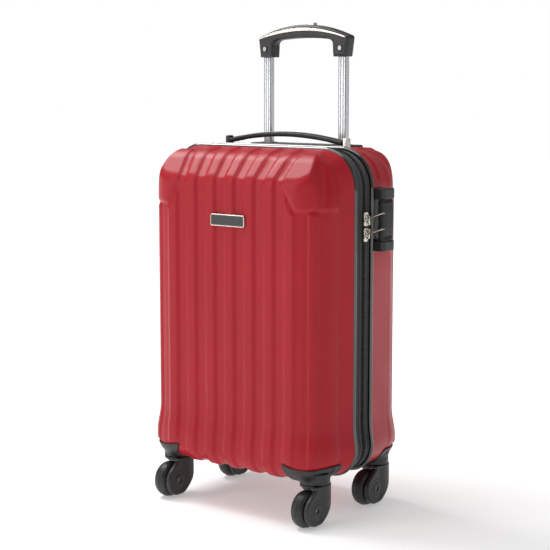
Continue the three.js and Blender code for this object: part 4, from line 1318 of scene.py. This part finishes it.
def build_tubes():
    """Inner and middle tubes: a grooved outline and a plain bore carried straight up."""
    sizes = fittings()
    for stage, body in (("inner", "trolley_inner"), ("middle", "trolley_middle")):
        for hand in ("left", "right"):
            node = f"tube_{stage}_{hand}"
            low, high = node_box(node)
            half, centre = (high - low) / 2, (high + low) / 2
            radius = sizes.tube_corner + (half[0] - 0.008)
            outer = tube_outline(half[0], half[1], radius, 0.0004)
            bore = tube_outline(half[0] - sizes.tube_wall, half[1] - sizes.tube_wall,
                                radius - sizes.tube_wall, 0.0)
            lip = 0.0003
            loops = [(outer * (1 - lip / half[0]), low[2]), (outer, low[2] + lip), (outer, high[2] - lip),
                     (outer * (1 - lip / half[0]), high[2]), (bore, high[2]), (bore, low[2])]
            grid = np.empty((len(loops), len(outer), 3))
            for row, (outline, z) in zip(grid, loops):
                row[:, :2] = outline + centre[:2]
                row[:, 2] = z
            tube = carried(f"profile_{stage}_{hand}", grid.transpose(1, 0, 2), finish("tube"), loop=True)
            settle(tube, body, "tube_aluminium", node)


def build_bezel():
    """The plate round the tubes: a rounded plate with a soft shoulder and a collar at each tube."""
    low, high = node_box("trolley_bezel")
    half_x, half_y = (high[0] - low[0]) / 2, (high[1] - low[1]) / 2
    middle_y = (high[1] + low[1]) / 2
    tube_low, tube_high = node_box("tube_middle_right")
    hole = (tube_high - tube_low) / 2 + 0.0005
    tube_x = (tube_high[0] + tube_low[0]) / 2
    hole_radius = 0.0054

    def field(x, y, z):
        across, along = np.abs(x), y - middle_y
        plate = round_max(rounded_box(x, along, half_x, half_y, 0.007), z - high[2] + 0.0009, 0.0022)
        at_tube = rounded_box(across - tube_x, along, hole[0], hole[1], hole_radius)
        collar = round_max(at_tube - 0.0026, z - high[2], 0.0008)
        sunk = rounded_box(x, along, tube_x - 0.024, half_y - 0.006, 0.004)
        plate = round_max(plate, -np.maximum(sunk, high[2] - 0.0020 - z), 0.0008)
        body = round_min(plate, collar, 0.0015)
        body = np.maximum(body, -at_tube)
        return np.maximum(np.maximum(body, low[2] - z), 0.0003 - shell_body(x, y, z, REAR))

    bezel = skin("bezel_plate", field, low - 0.001, high + 0.001, 0.001, finish("plastic"))
    settle(bezel, "rear_case", "black_plastic", "trolley_bezel")


def grip_outline():
    """The grip from the front: two legs, an arched top and a hollow under it."""
    low, high = node_box("grip")
    half, foot = high[0], low[2]
    leg_inner = half - 0.030
    end_top = foot + 0.032
    middle_top = foot + 0.049
    under = middle_top - 0.020
    arch = middle_top - end_top
    hollow = leg_inner - 0.001
    pieces = [
        [(-half + 0.004, foot), (-leg_inner, foot), (-hollow, foot + 0.014)],
        curve((-hollow, foot + 0.018), (-hollow, under - 0.003), (-hollow + 0.013, under - 0.002), 10),
        curve((-hollow + 0.013, under - 0.002), (0, under + 0.002), (hollow - 0.013, under - 0.002), 14),
        curve((hollow - 0.013, under - 0.002), (hollow, under - 0.003), (hollow, foot + 0.018), 10),
        [(hollow, foot + 0.014), (leg_inner, foot), (half - 0.004, foot)],
        curve((half, end_top - 0.004), (half, end_top), (half - 0.005, end_top + 0.001), 5),
        curve((half - 0.005, end_top + 0.001), (0, middle_top + arch), (-half + 0.005, end_top + 0.001), 28),
        curve((-half + 0.005, end_top + 0.001), (-half, end_top), (-half, end_top - 0.004), 5),
    ]
    return np.vstack(pieces)


def crescent_outline():
    """The bright inlay on the grip's front: a band between two arcs, thickest in the middle."""
    low, high = node_box("grip_trim")
    left, right, foot, top = low[0], high[0], low[2], high[2]
    middle, tip = (left + right) / 2, foot + 0.0025
    return np.vstack([
        curve((left, foot), (middle + 0.010, foot + 0.024), (right, foot), 24),
        [(right, foot)],
        curve((right, tip), (middle, 2 * top - tip), (left, tip), 24),
        [(left, tip)],
    ])


def build_grip():
    """The grip: its outline given depth with well rounded edges, a moulded parting line, sockets for the
    tubes, screw wells, a bed for the inlay and a pocket for the button."""
    outline, crescent = grip_outline(), crescent_outline()
    low, high = node_box("grip")
    middle_y, half_y = (high[1] + low[1]) / 2, (high[1] - low[1]) / 2
    tube_low, tube_high = node_box("tube_inner_right")
    tube = (tube_high - tube_low) / 2 + 0.0003
    tube_x = (tube_high[0] + tube_low[0]) / 2
    screw_low, screw_high = node_box("grip_screw_right")
    screw_z = (screw_low[2] + screw_high[2]) / 2
    trim_low, trim_high = node_box("grip_trim")
    button_low, button_high = node_box("release_button")
    button = (button_high - button_low) / 2 + 0.0005
    button_at = (button_high + button_low) / 2

    def field(x, y, z):
        across = y - middle_y
        body = round_max(outline_distance(x, z, outline), np.abs(across) - half_y, fittings().grip_round)
        seam = np.maximum(np.abs(across) - 0.0003, -body - 0.0005)
        body = np.maximum(body, -seam)
        socket = rounded_box(np.abs(x) - tube_x, across, tube[0], tube[1], 0.0035)
        body = round_max(body, -np.maximum(socket, z - tube_high[2]), 0.0004)
        well = np.hypot(np.abs(x) - tube_x, z - screw_z)
        counterbore = np.maximum(well - 0.0052, y - low[1] - 0.0004)
        body = np.maximum(body, -np.minimum(np.maximum(well - 0.0022, y - low[1] - 0.0032), counterbore))
        bed = np.maximum(outline_distance(x, z, crescent) - 0.0003, y - trim_high[1] - 0.0003)
        body = np.maximum(body, -bed)
        pocket = rounded_box(x - button_at[0], y - button_at[1], button[0], button[1], 0.003)
        return round_max(body, -np.maximum(pocket, button_low[2] - 0.0035 - z), 0.0006)

    grip = skin("grip_body", field, low - 0.001, high + 0.001, 0.001, finish("plastic"), sharp=50)
    settle(grip, "trolley_inner", "black_plastic", "grip")

    def trim_field(x, y, z):
        return round_max(outline_distance(x, z, crescent), slab(y, trim_low[1], trim_high[1]), 0.0006)

    trim = skin("grip_inlay", trim_field, trim_low - 0.0006, trim_high + 0.0006, 0.0005, finish("nickel"))
    settle(trim, "trolley_inner", "nickel", "grip_trim")

    def button_field(x, y, z):
        pad = rounded_box(x - button_at[0], y - button_at[1], button[0] - 0.0005, button[1] - 0.0005, 0.0025)
        dish = 0.0005 * np.exp(-(((x - button_at[0]) / 0.004) ** 2))
        return round_max(pad, slab(z, button_low[2], button_high[2] - dish), 0.0012)

    push = skin("button_pad", button_field, button_low - 0.0006, button_high + 0.0006, 0.0004,
                finish("nickel"))
    settle(push, "release_button", "nickel", "release_button")


# ---------------------------------------------------------------- carry handles
def strap(name, start, end, across, out, rise, width, thickness, material):
    """A strap from start to end that bows out by rise along a parabola. Its section is a
    superellipse that thins and narrows a little towards the ends, with fine ribs at both."""
    t = np.linspace(0, 1, 121)
    start, end = np.array(start), np.array(end)
    bow = 4 * rise * t * (1 - t)
    line = start + (end - start) * t[:, None] + bow[:, None] * out
    tangent = np.gradient(line, axis=0)
    tangent /= np.linalg.norm(tangent, axis=1)[:, None]
    away = np.cross(tangent, across)
    away *= np.sign(away @ out)[:, None]
    turn = np.radians(np.arange(0, 360, 10))
    power = 0.55
    cos, sin = (np.sign(f) * np.abs(f) ** power for f in (np.cos(turn), np.sin(turn)))
    near_end = np.minimum(t, 1 - t)
    waist = 1 - 0.10 * ramp(near_end, 0.10, 0.0)
    rib_zone = ramp(near_end, 0.12, 0.10) * ramp(near_end, 0.015, 0.03)
    ribs = 0.0004 * rib_zone * np.cos(2 * np.pi * t * 72)
    crown = 1 + 0.10 * ramp(near_end, 0.12, 0.3)
    grid = (line[:, None] + (width / 2 * waist)[:, None, None] * cos[:, None] * across
            + ((thickness / 2 * crown + ribs)[:, None] * sin)[..., None] * away[:, None])
    return carried(name, grid, material)


def cap_field(low, high, axis, out, ribs, rounding, hollow_low, hollow_high, notch):
    """Distance to an end cap: a rounded block on the shell with ribs across its face and a
    hollow for the strap's tab. axis is the strap's direction and out points off the shell."""
    middle, half = (low + high) / 2, (high - low) / 2
    wide = 3 - axis - out

    def field(x, y, z):
        place = (x, y, z)
        along, off, across = (place[k] - middle[k] for k in (axis, out, wide))
        block = rounded_box(across, off, half[wide], half[out], rounding)
        block = round_max(block, np.abs(along) - half[axis], 0.0016)
        if ribs:
            block = block + ribs * (0.5 + 0.5 * np.cos(2 * np.pi * across / 0.0029))
        hollow = np.maximum(slab(place[axis], hollow_low[axis], hollow_high[axis]),
                            np.maximum(slab(place[out], hollow_low[out], hollow_high[out]),
                                       slab(place[wide], hollow_low[wide], hollow_high[wide])))
        return np.maximum(round_max(block, -hollow, 0.0003), notch - shell_body(x, y, z, REAR))

    return field


def build_top_handle():
    """The top strap with its tabs, and two ribbed caps: black plastic on the left, nickel on the right."""
    low, high = node_box("top_handle")
    lift = fittings().strap_lift
    caps = {}
    for word, hand in (("left", -1), ("right", 1)):
        cap_low, cap_high = node_box(f"top_handle_cap_{word}")
        caps[hand] = (cap_low, cap_high)
    middle_y = (low[1] + high[1]) / 2
    width = high[1] - low[1]
    sizes = fittings()
    thickness = sizes.strap_thickness
    inner_end = caps[1][0][0] - 0.0008
    base = low[2] + thickness / 2
    rise = high[2] - base - thickness * 0.55
    piece = strap("top_strap", (-inner_end, middle_y, base), (inner_end, middle_y, base),
                  np.array([0.0, 1.0, 0.0]), np.array([0.0, 0.0, 1.0]), rise, width, thickness,
                  finish("rubber"))
    settle(piece, "top_handle", "black_rubber", "top_handle")
    tab_half_y, tab_half_z = sizes.strap_tab, 0.0016

    def tab_field(x, y, z):
        section = rounded_box(y - middle_y, z - base, tab_half_y, tab_half_z, 0.0007)
        return round_max(section, slab(np.abs(x), inner_end - 0.003, high[0]), 0.0006)

    tabs = skin("top_strap_tabs", tab_field, (low[0] - 0.001, middle_y - tab_half_y - 0.001, base - 0.003),
                (high[0] + 0.001, middle_y + tab_half_y + 0.001, base + 0.003), 0.0009, finish("rubber"))
    settle(tabs, "top_handle", "black_rubber")
    gap = fittings().tab_gap
    for hand, (cap_low, cap_high) in caps.items():
        reach = sorted((hand * (inner_end - 0.002), hand * (high[0] + gap)))
        hollow_low = np.array([reach[0], middle_y - tab_half_y - gap, base - tab_half_z - gap])
        hollow_high = np.array([reach[1], middle_y + tab_half_y + gap, base + tab_half_z + lift + gap])
        solid_low = cap_low.copy()
        solid_low[2] = base - 0.020
        field = cap_field(solid_low, cap_high, 0, 2, 0.0006, 0.0030, hollow_low, hollow_high, 0.0003)
        word = "left" if hand < 0 else "right"
        look, slot = ("plastic", "black_plastic") if hand < 0 else ("nickel", "nickel")
        cap = skin(f"top_cap_{word}", field, cap_low - 0.001, cap_high + 0.001, 0.0006, finish(look))
        settle(cap, "rear_case", slot, f"top_handle_cap_{word}")


def build_side_handle():
    """The side strap, flat against the shell, two bulged end caps, and a black plate on the shell under the
    strap as painted shade for the gap behind it.
    """
    low, high = node_box("side_handle")
    lift = fittings().strap_lift
    middle_y, middle_z = (low[1] + high[1]) / 2, (low[2] + high[2]) / 2
    width, thickness = high[1] - low[1], fittings().side_thickness
    upper_low, _ = node_box("side_handle_cap_upper")
    reach = upper_low[2] - middle_z - 0.0008
    base = high[0] - thickness / 2 - 0.0010
    piece = strap("side_strap", (base, middle_y, middle_z - reach), (base, middle_y, middle_z + reach),
                  np.array([0.0, 1.0, 0.0]), np.array([1.0, 0.0, 0.0]), 0.0010, width, thickness,
                  finish("rubber"))
    settle(piece, "side_handle", "black_rubber", "side_handle")
    tab_half_y, tab_half_x = fittings().side_tab, 0.00225
    end = high[2] - middle_z

    def tab_field(x, y, z):
        section = rounded_box(y - middle_y, x - base, tab_half_y, tab_half_x, 0.0008)
        return round_max(section, slab(np.abs(z - middle_z), reach - 0.003, end), 0.0006)

    tabs = skin("side_strap_tabs", tab_field, (base - 0.004, middle_y - tab_half_y - 0.001, low[2] - 0.001),
                (base + 0.004, middle_y + tab_half_y + 0.001, high[2] + 0.001), 0.0009, finish("rubber"))
    settle(tabs, "side_handle", "black_rubber")
    gap = fittings().tab_gap
    for word, hand in (("lower", -1), ("upper", 1)):
        cap_low, cap_high = node_box(f"side_handle_cap_{word}")
        span = sorted((middle_z + hand * (reach - 0.002), middle_z + hand * (end + gap)))
        hollow_low = np.array([base - tab_half_x - gap, middle_y - tab_half_y - gap, span[0]])
        hollow_high = np.array([base + tab_half_x + lift + gap, middle_y + tab_half_y + gap, span[1]])
        solid_low = cap_low.copy()
        solid_low[0] = base - 0.020
        field = cap_field(solid_low, cap_high, 2, 0, 0, 0.0065, hollow_low, hollow_high, 0.0003)
        cap = skin(f"side_cap_{word}", field, cap_low - 0.001, cap_high + 0.001, 0.0008, finish("plastic"))
        settle(cap, "rear_case", "black_plastic", f"side_handle_cap_{word}")

    # painted shade: a black plate on the shell between the caps, standing in for the shade in the gap behind
    # the strap
    lower_high = node_box("side_handle_cap_lower")[1]
    shade_plate_half = (upper_low[2] - lower_high[2]) / 2 - 0.0004

    def plate_field(x, y, z):
        plate = rounded_box(y - middle_y, z - middle_z, width / 2, shade_plate_half, 0.003)
        shell = shell_body(x, y, z, REAR)
        return np.maximum(round_max(plate, shell - 0.0014, 0.0005), 0.0003 - shell)

    shade_plate_low = (half_width() - 0.012, middle_y - width / 2 - 0.001, middle_z - shade_plate_half - 0.001)
    shade_plate_high = (half_width() + 0.003, middle_y + width / 2 + 0.001, middle_z + shade_plate_half + 0.001)
    plate = skin("side_shade_plate", plate_field, shade_plate_low, shade_plate_high, 0.0008, finish("plastic"))
    settle(plate, "rear_case", "black_plastic")


def dress_frame_nodes():
    """Finishes for the nodes of the frame that stay as they are."""
    for place in PLACES:
        for node in (f"wheel_axle_{place}", f"swivel_pin_{place}"):
            frame["nodes"][node].data.materials[0] = finish("steel")
    for hand in ("left", "right"):
        frame["nodes"][f"grip_screw_{hand}"].data.materials[0] = finish("steel")
        frame["nodes"][f"tube_outer_{hand}"].data.materials[0] = finish("tube")
    frame["nodes"]["trolley_foot"].data.materials[0] = finish("plastic")


# ---------------------------------------------------------------- stage
# the camera's place and aim, measured from the middle of the case
CAMERA_PLACE = Vector((1.39798, -1.76094, 0.64897))
CAMERA_AZIMUTH = math.radians(38.46)
CAMERA_FALL = math.radians(7.52)
CAMERA_LENS = 96.16
AIM = (0.0, 0.0, 0.35)
# name, place, size and power of each soft light
LIGHTS = (
    ("top_softbox", (-0.3, -0.6, 2.5), (1.5, 1.5), 16),
    ("upper_left_softbox", (-1.35, -0.1, 2.15), (1.1, 1.0), 34),
    ("key_softbox", (-1.6, -2.6, 1.3), (0.9, 1.8), 17),
    ("side_softbox", (2.6, 0.3, 1.4), (0.9, 1.8), 4),
)
FLOOR_REACH = 9.0
FLOOR_STEPS = 41
AMBIENT = 0.30


def area_light(name, place, size, power):
    data = bpy.data.lights.new(name, "AREA")
    data.shape = "RECTANGLE"
    data.size, data.size_y = size
    data.energy = power
    light = bpy.data.objects.new(name, data)
    light.location = place
    light.rotation_euler = (Vector(AIM) - Vector(place)).to_track_quat("-Z", "Y").to_euler()
    bpy.context.scene.collection.objects.link(light)


def build_stage():
    """A level white floor that glows more with distance, soft lights and the camera."""
    steps = np.linspace(-FLOOR_REACH, FLOOR_REACH, FLOOR_STEPS)
    x, y = np.meshgrid(steps, steps)
    z = np.zeros_like(x)
    points = np.stack([x, y, z], -1).reshape(-1, 3) - MIDDLE
    stage_finish = Finish("studio_floor", (0.9, 0.9, 0.9), 0.9)
    stage_finish.shader.inputs["Emission Color"].default_value = (1, 1, 1, 1)
    away = stage_finish.add("ShaderNodeVectorMath", operation="LENGTH")
    stage_finish.links.new(stage_finish.place(), away.inputs[0])
    # painted light: the floor glows, less near the case and more further off, so the far floor is white and
    # the case is lit from below
    glow = stage_finish.span(away.outputs["Value"], 0.34, 0.85, 0.7, 2.2)
    stage_finish.links.new(glow, stage_finish.shader.inputs["Emission Strength"])
    faces = grid_faces(FLOOR_STEPS, FLOOR_STEPS).tolist()
    floor = make_piece("studio_floor", points, faces, stage_finish.material)

    world = bpy.data.worlds.new("studio")
    bpy.context.scene.world = world
    world.use_nodes = True
    nodes, links = world.node_tree.nodes, world.node_tree.links
    sky = nodes["Background"]
    sky.inputs["Color"].default_value = (1.0, 1.0, 1.0, 1)
    seen = nodes.new("ShaderNodeLightPath").outputs["Is Camera Ray"]
    share = nodes.new("ShaderNodeMapRange")
    share.inputs["To Min"].default_value = AMBIENT
    share.inputs["To Max"].default_value = 1.0
    links.new(seen, share.inputs["Value"])
    links.new(share.outputs["Result"], sky.inputs["Strength"])
    for light in LIGHTS:
        area_light(*light)
    bpy.context.scene.view_settings.view_transform = "Standard"

    level = math.cos(CAMERA_FALL)
    forward = Vector((-math.sin(CAMERA_AZIMUTH) * level, math.cos(CAMERA_AZIMUTH) * level,
                      -math.sin(CAMERA_FALL)))
    camera_data = bpy.data.cameras.new("camera")
    camera_data.lens = CAMERA_LENS
    camera = bpy.data.objects.new("camera", camera_data)
    camera.location = Vector(MIDDLE) + CAMERA_PLACE
    camera.rotation_euler = forward.to_track_quat("-Z", "Y").to_euler()
    bpy.context.scene.collection.objects.link(camera)
    bpy.context.scene.camera = camera


# ---------------------------------------------------------------- operators and panel
class SUITCASE_OT_shells(bpy.types.Operator):
    """Both moulded shells"""

    bl_idname = "suitcase.shells"
    bl_label = "Shells"
    bl_options = {"REGISTER", "UNDO"}

    def execute(self, context):
        build_shells()
        return {"FINISHED"}


class SUITCASE_OT_linings(bpy.types.Operator):
    """The cloth linings of both halves"""

    bl_idname = "suitcase.linings"
    bl_label = "Linings"
    bl_options = {"REGISTER", "UNDO"}

    def execute(self, context):
        build_linings()
        return {"FINISHED"}


class SUITCASE_OT_piping(bpy.types.Operator):
    """The glossy edging round both rims"""

    bl_idname = "suitcase.piping"
    bl_label = "Piping"
    bl_options = {"REGISTER", "UNDO"}

    def execute(self, context):
        build_piping()
        return {"FINISHED"}


class SUITCASE_OT_tapes(bpy.types.Operator):
    """The fabric tapes of the gusset"""

    bl_idname = "suitcase.tapes"
    bl_label = "Zip tapes"
    bl_options = {"REGISTER", "UNDO"}

    def execute(self, context):
        build_tapes()
        return {"FINISHED"}


class SUITCASE_OT_hinge(bpy.types.Operator):
    """The strip of fabric that the lid turns on"""

    bl_idname = "suitcase.hinge"
    bl_label = "Fabric hinge"
    bl_options = {"REGISTER", "UNDO"}

    def execute(self, context):
        build_hinge()
        return {"FINISHED"}


class SUITCASE_OT_coils(bpy.types.Operator):
    """Both rows of zip teeth"""

    bl_idname = "suitcase.coils"
    bl_label = "Zip coils"
    bl_options = {"REGISTER", "UNDO"}

    def execute(self, context):
        build_coils()
        return {"FINISHED"}


class SUITCASE_OT_sliders(bpy.types.Operator):
    """Both sliders and their pulls"""

    bl_idname = "suitcase.sliders"
    bl_label = "Zip sliders"
    bl_options = {"REGISTER", "UNDO"}

    def execute(self, context):
        build_sliders()
        return {"FINISHED"}


class SUITCASE_OT_badge(bpy.types.Operator):
    """The blank badge"""

    bl_idname = "suitcase.badge"
    bl_label = "Badge"
    bl_options = {"REGISTER", "UNDO"}

    def execute(self, context):
        build_badge()
        return {"FINISHED"}


class SUITCASE_OT_casters(bpy.types.Operator):
    """Brackets, forks and wheels"""

    bl_idname = "suitcase.casters"
    bl_label = "Casters"
    bl_options = {"REGISTER", "UNDO"}

    def execute(self, context):
        build_casters()
        return {"FINISHED"}


class SUITCASE_OT_tubes(bpy.types.Operator):
    """The inner and middle tubes"""

    bl_idname = "suitcase.tubes"
    bl_label = "Trolley tubes"
    bl_options = {"REGISTER", "UNDO"}

    def execute(self, context):
        build_tubes()
        return {"FINISHED"}


class SUITCASE_OT_bezel(bpy.types.Operator):
    """The plate round the tubes"""

    bl_idname = "suitcase.bezel"
    bl_label = "Bezel"
    bl_options = {"REGISTER", "UNDO"}

    def execute(self, context):
        build_bezel()
        return {"FINISHED"}


class SUITCASE_OT_grip(bpy.types.Operator):
    """The grip with its inlay and button"""

    bl_idname = "suitcase.grip"
    bl_label = "Grip"
    bl_options = {"REGISTER", "UNDO"}

    def execute(self, context):
        build_grip()
        return {"FINISHED"}


class SUITCASE_OT_top_handle(bpy.types.Operator):
    """The top strap and its caps"""

    bl_idname = "suitcase.top_handle"
    bl_label = "Top handle"
    bl_options = {"REGISTER", "UNDO"}

    def execute(self, context):
        build_top_handle()
        return {"FINISHED"}


class SUITCASE_OT_side_handle(bpy.types.Operator):
    """The side strap and its caps"""

    bl_idname = "suitcase.side_handle"
    bl_label = "Side handle"
    bl_options = {"REGISTER", "UNDO"}

    def execute(self, context):
        build_side_handle()
        return {"FINISHED"}


class SUITCASE_OT_frame_finishes(bpy.types.Operator):
    """Finishes for tubes, screws, pins and axles"""

    bl_idname = "suitcase.frame_finishes"
    bl_label = "Plain parts"
    bl_options = {"REGISTER", "UNDO"}

    def execute(self, context):
        dress_frame_nodes()
        return {"FINISHED"}


class SUITCASE_OT_stage(bpy.types.Operator):
    """The floor, the lights and the camera"""

    bl_idname = "suitcase.stage"
    bl_label = "Stage"
    bl_options = {"REGISTER", "UNDO"}

    def execute(self, context):
        build_stage()
        return {"FINISHED"}


OPERATORS = (
    SUITCASE_OT_shells,
    SUITCASE_OT_linings,
    SUITCASE_OT_piping,
    SUITCASE_OT_tapes,
    SUITCASE_OT_hinge,
    SUITCASE_OT_coils,
    SUITCASE_OT_sliders,
    SUITCASE_OT_badge,
    SUITCASE_OT_casters,
    SUITCASE_OT_tubes,
    SUITCASE_OT_bezel,
    SUITCASE_OT_grip,
    SUITCASE_OT_top_handle,
    SUITCASE_OT_side_handle,
    SUITCASE_OT_frame_finishes,
    SUITCASE_OT_stage,
)


class SUITCASE_PT_parts(bpy.types.Panel):
    """The suitcase's sizes, colours and pieces"""

    bl_idname = "SUITCASE_PT_parts"
    bl_label = "Suitcase"
    bl_space_type = "VIEW_3D"
    bl_region_type = "UI"
    bl_category = "Suitcase"

    def draw(self, context):
        for group in GROUPS:
            settings = getattr(context.scene, GROUPS[group])
            box = self.layout.box()
            for name in group.__annotations__:
                box.prop(settings, name)
        for kind in OPERATORS:
            self.layout.operator(kind.bl_idname)


GROUPS = {ShellSizes: "suitcase_shell", FittingSizes: "suitcase_fittings", Finishes: "suitcase_finishes"}


def register():
    for kind in (*GROUPS, *OPERATORS, SUITCASE_PT_parts):
        bpy.utils.register_class(kind)
    for group, name in GROUPS.items():
        setattr(bpy.types.Scene, name, PointerProperty(type=group))


def unregister():
    for name in GROUPS.values():
        delattr(bpy.types.Scene, name)
    for kind in reversed((*GROUPS, *OPERATORS, SUITCASE_PT_parts)):
        bpy.utils.unregister_class(kind)


def main():
    """Builds every piece in order."""
    register()
    bpy.ops.suitcase.shells()
    bpy.ops.suitcase.linings()
    bpy.ops.suitcase.piping()
    bpy.ops.suitcase.tapes()
    bpy.ops.suitcase.hinge()
    bpy.ops.suitcase.coils()
    bpy.ops.suitcase.sliders()
    bpy.ops.suitcase.badge()
    bpy.ops.suitcase.casters()
    bpy.ops.suitcase.tubes()
    bpy.ops.suitcase.bezel()
    bpy.ops.suitcase.grip()
    bpy.ops.suitcase.top_handle()
    bpy.ops.suitcase.side_handle()
    bpy.ops.suitcase.frame_finishes()
    bpy.ops.suitcase.stage()


if __name__ == "__main__":
    main()
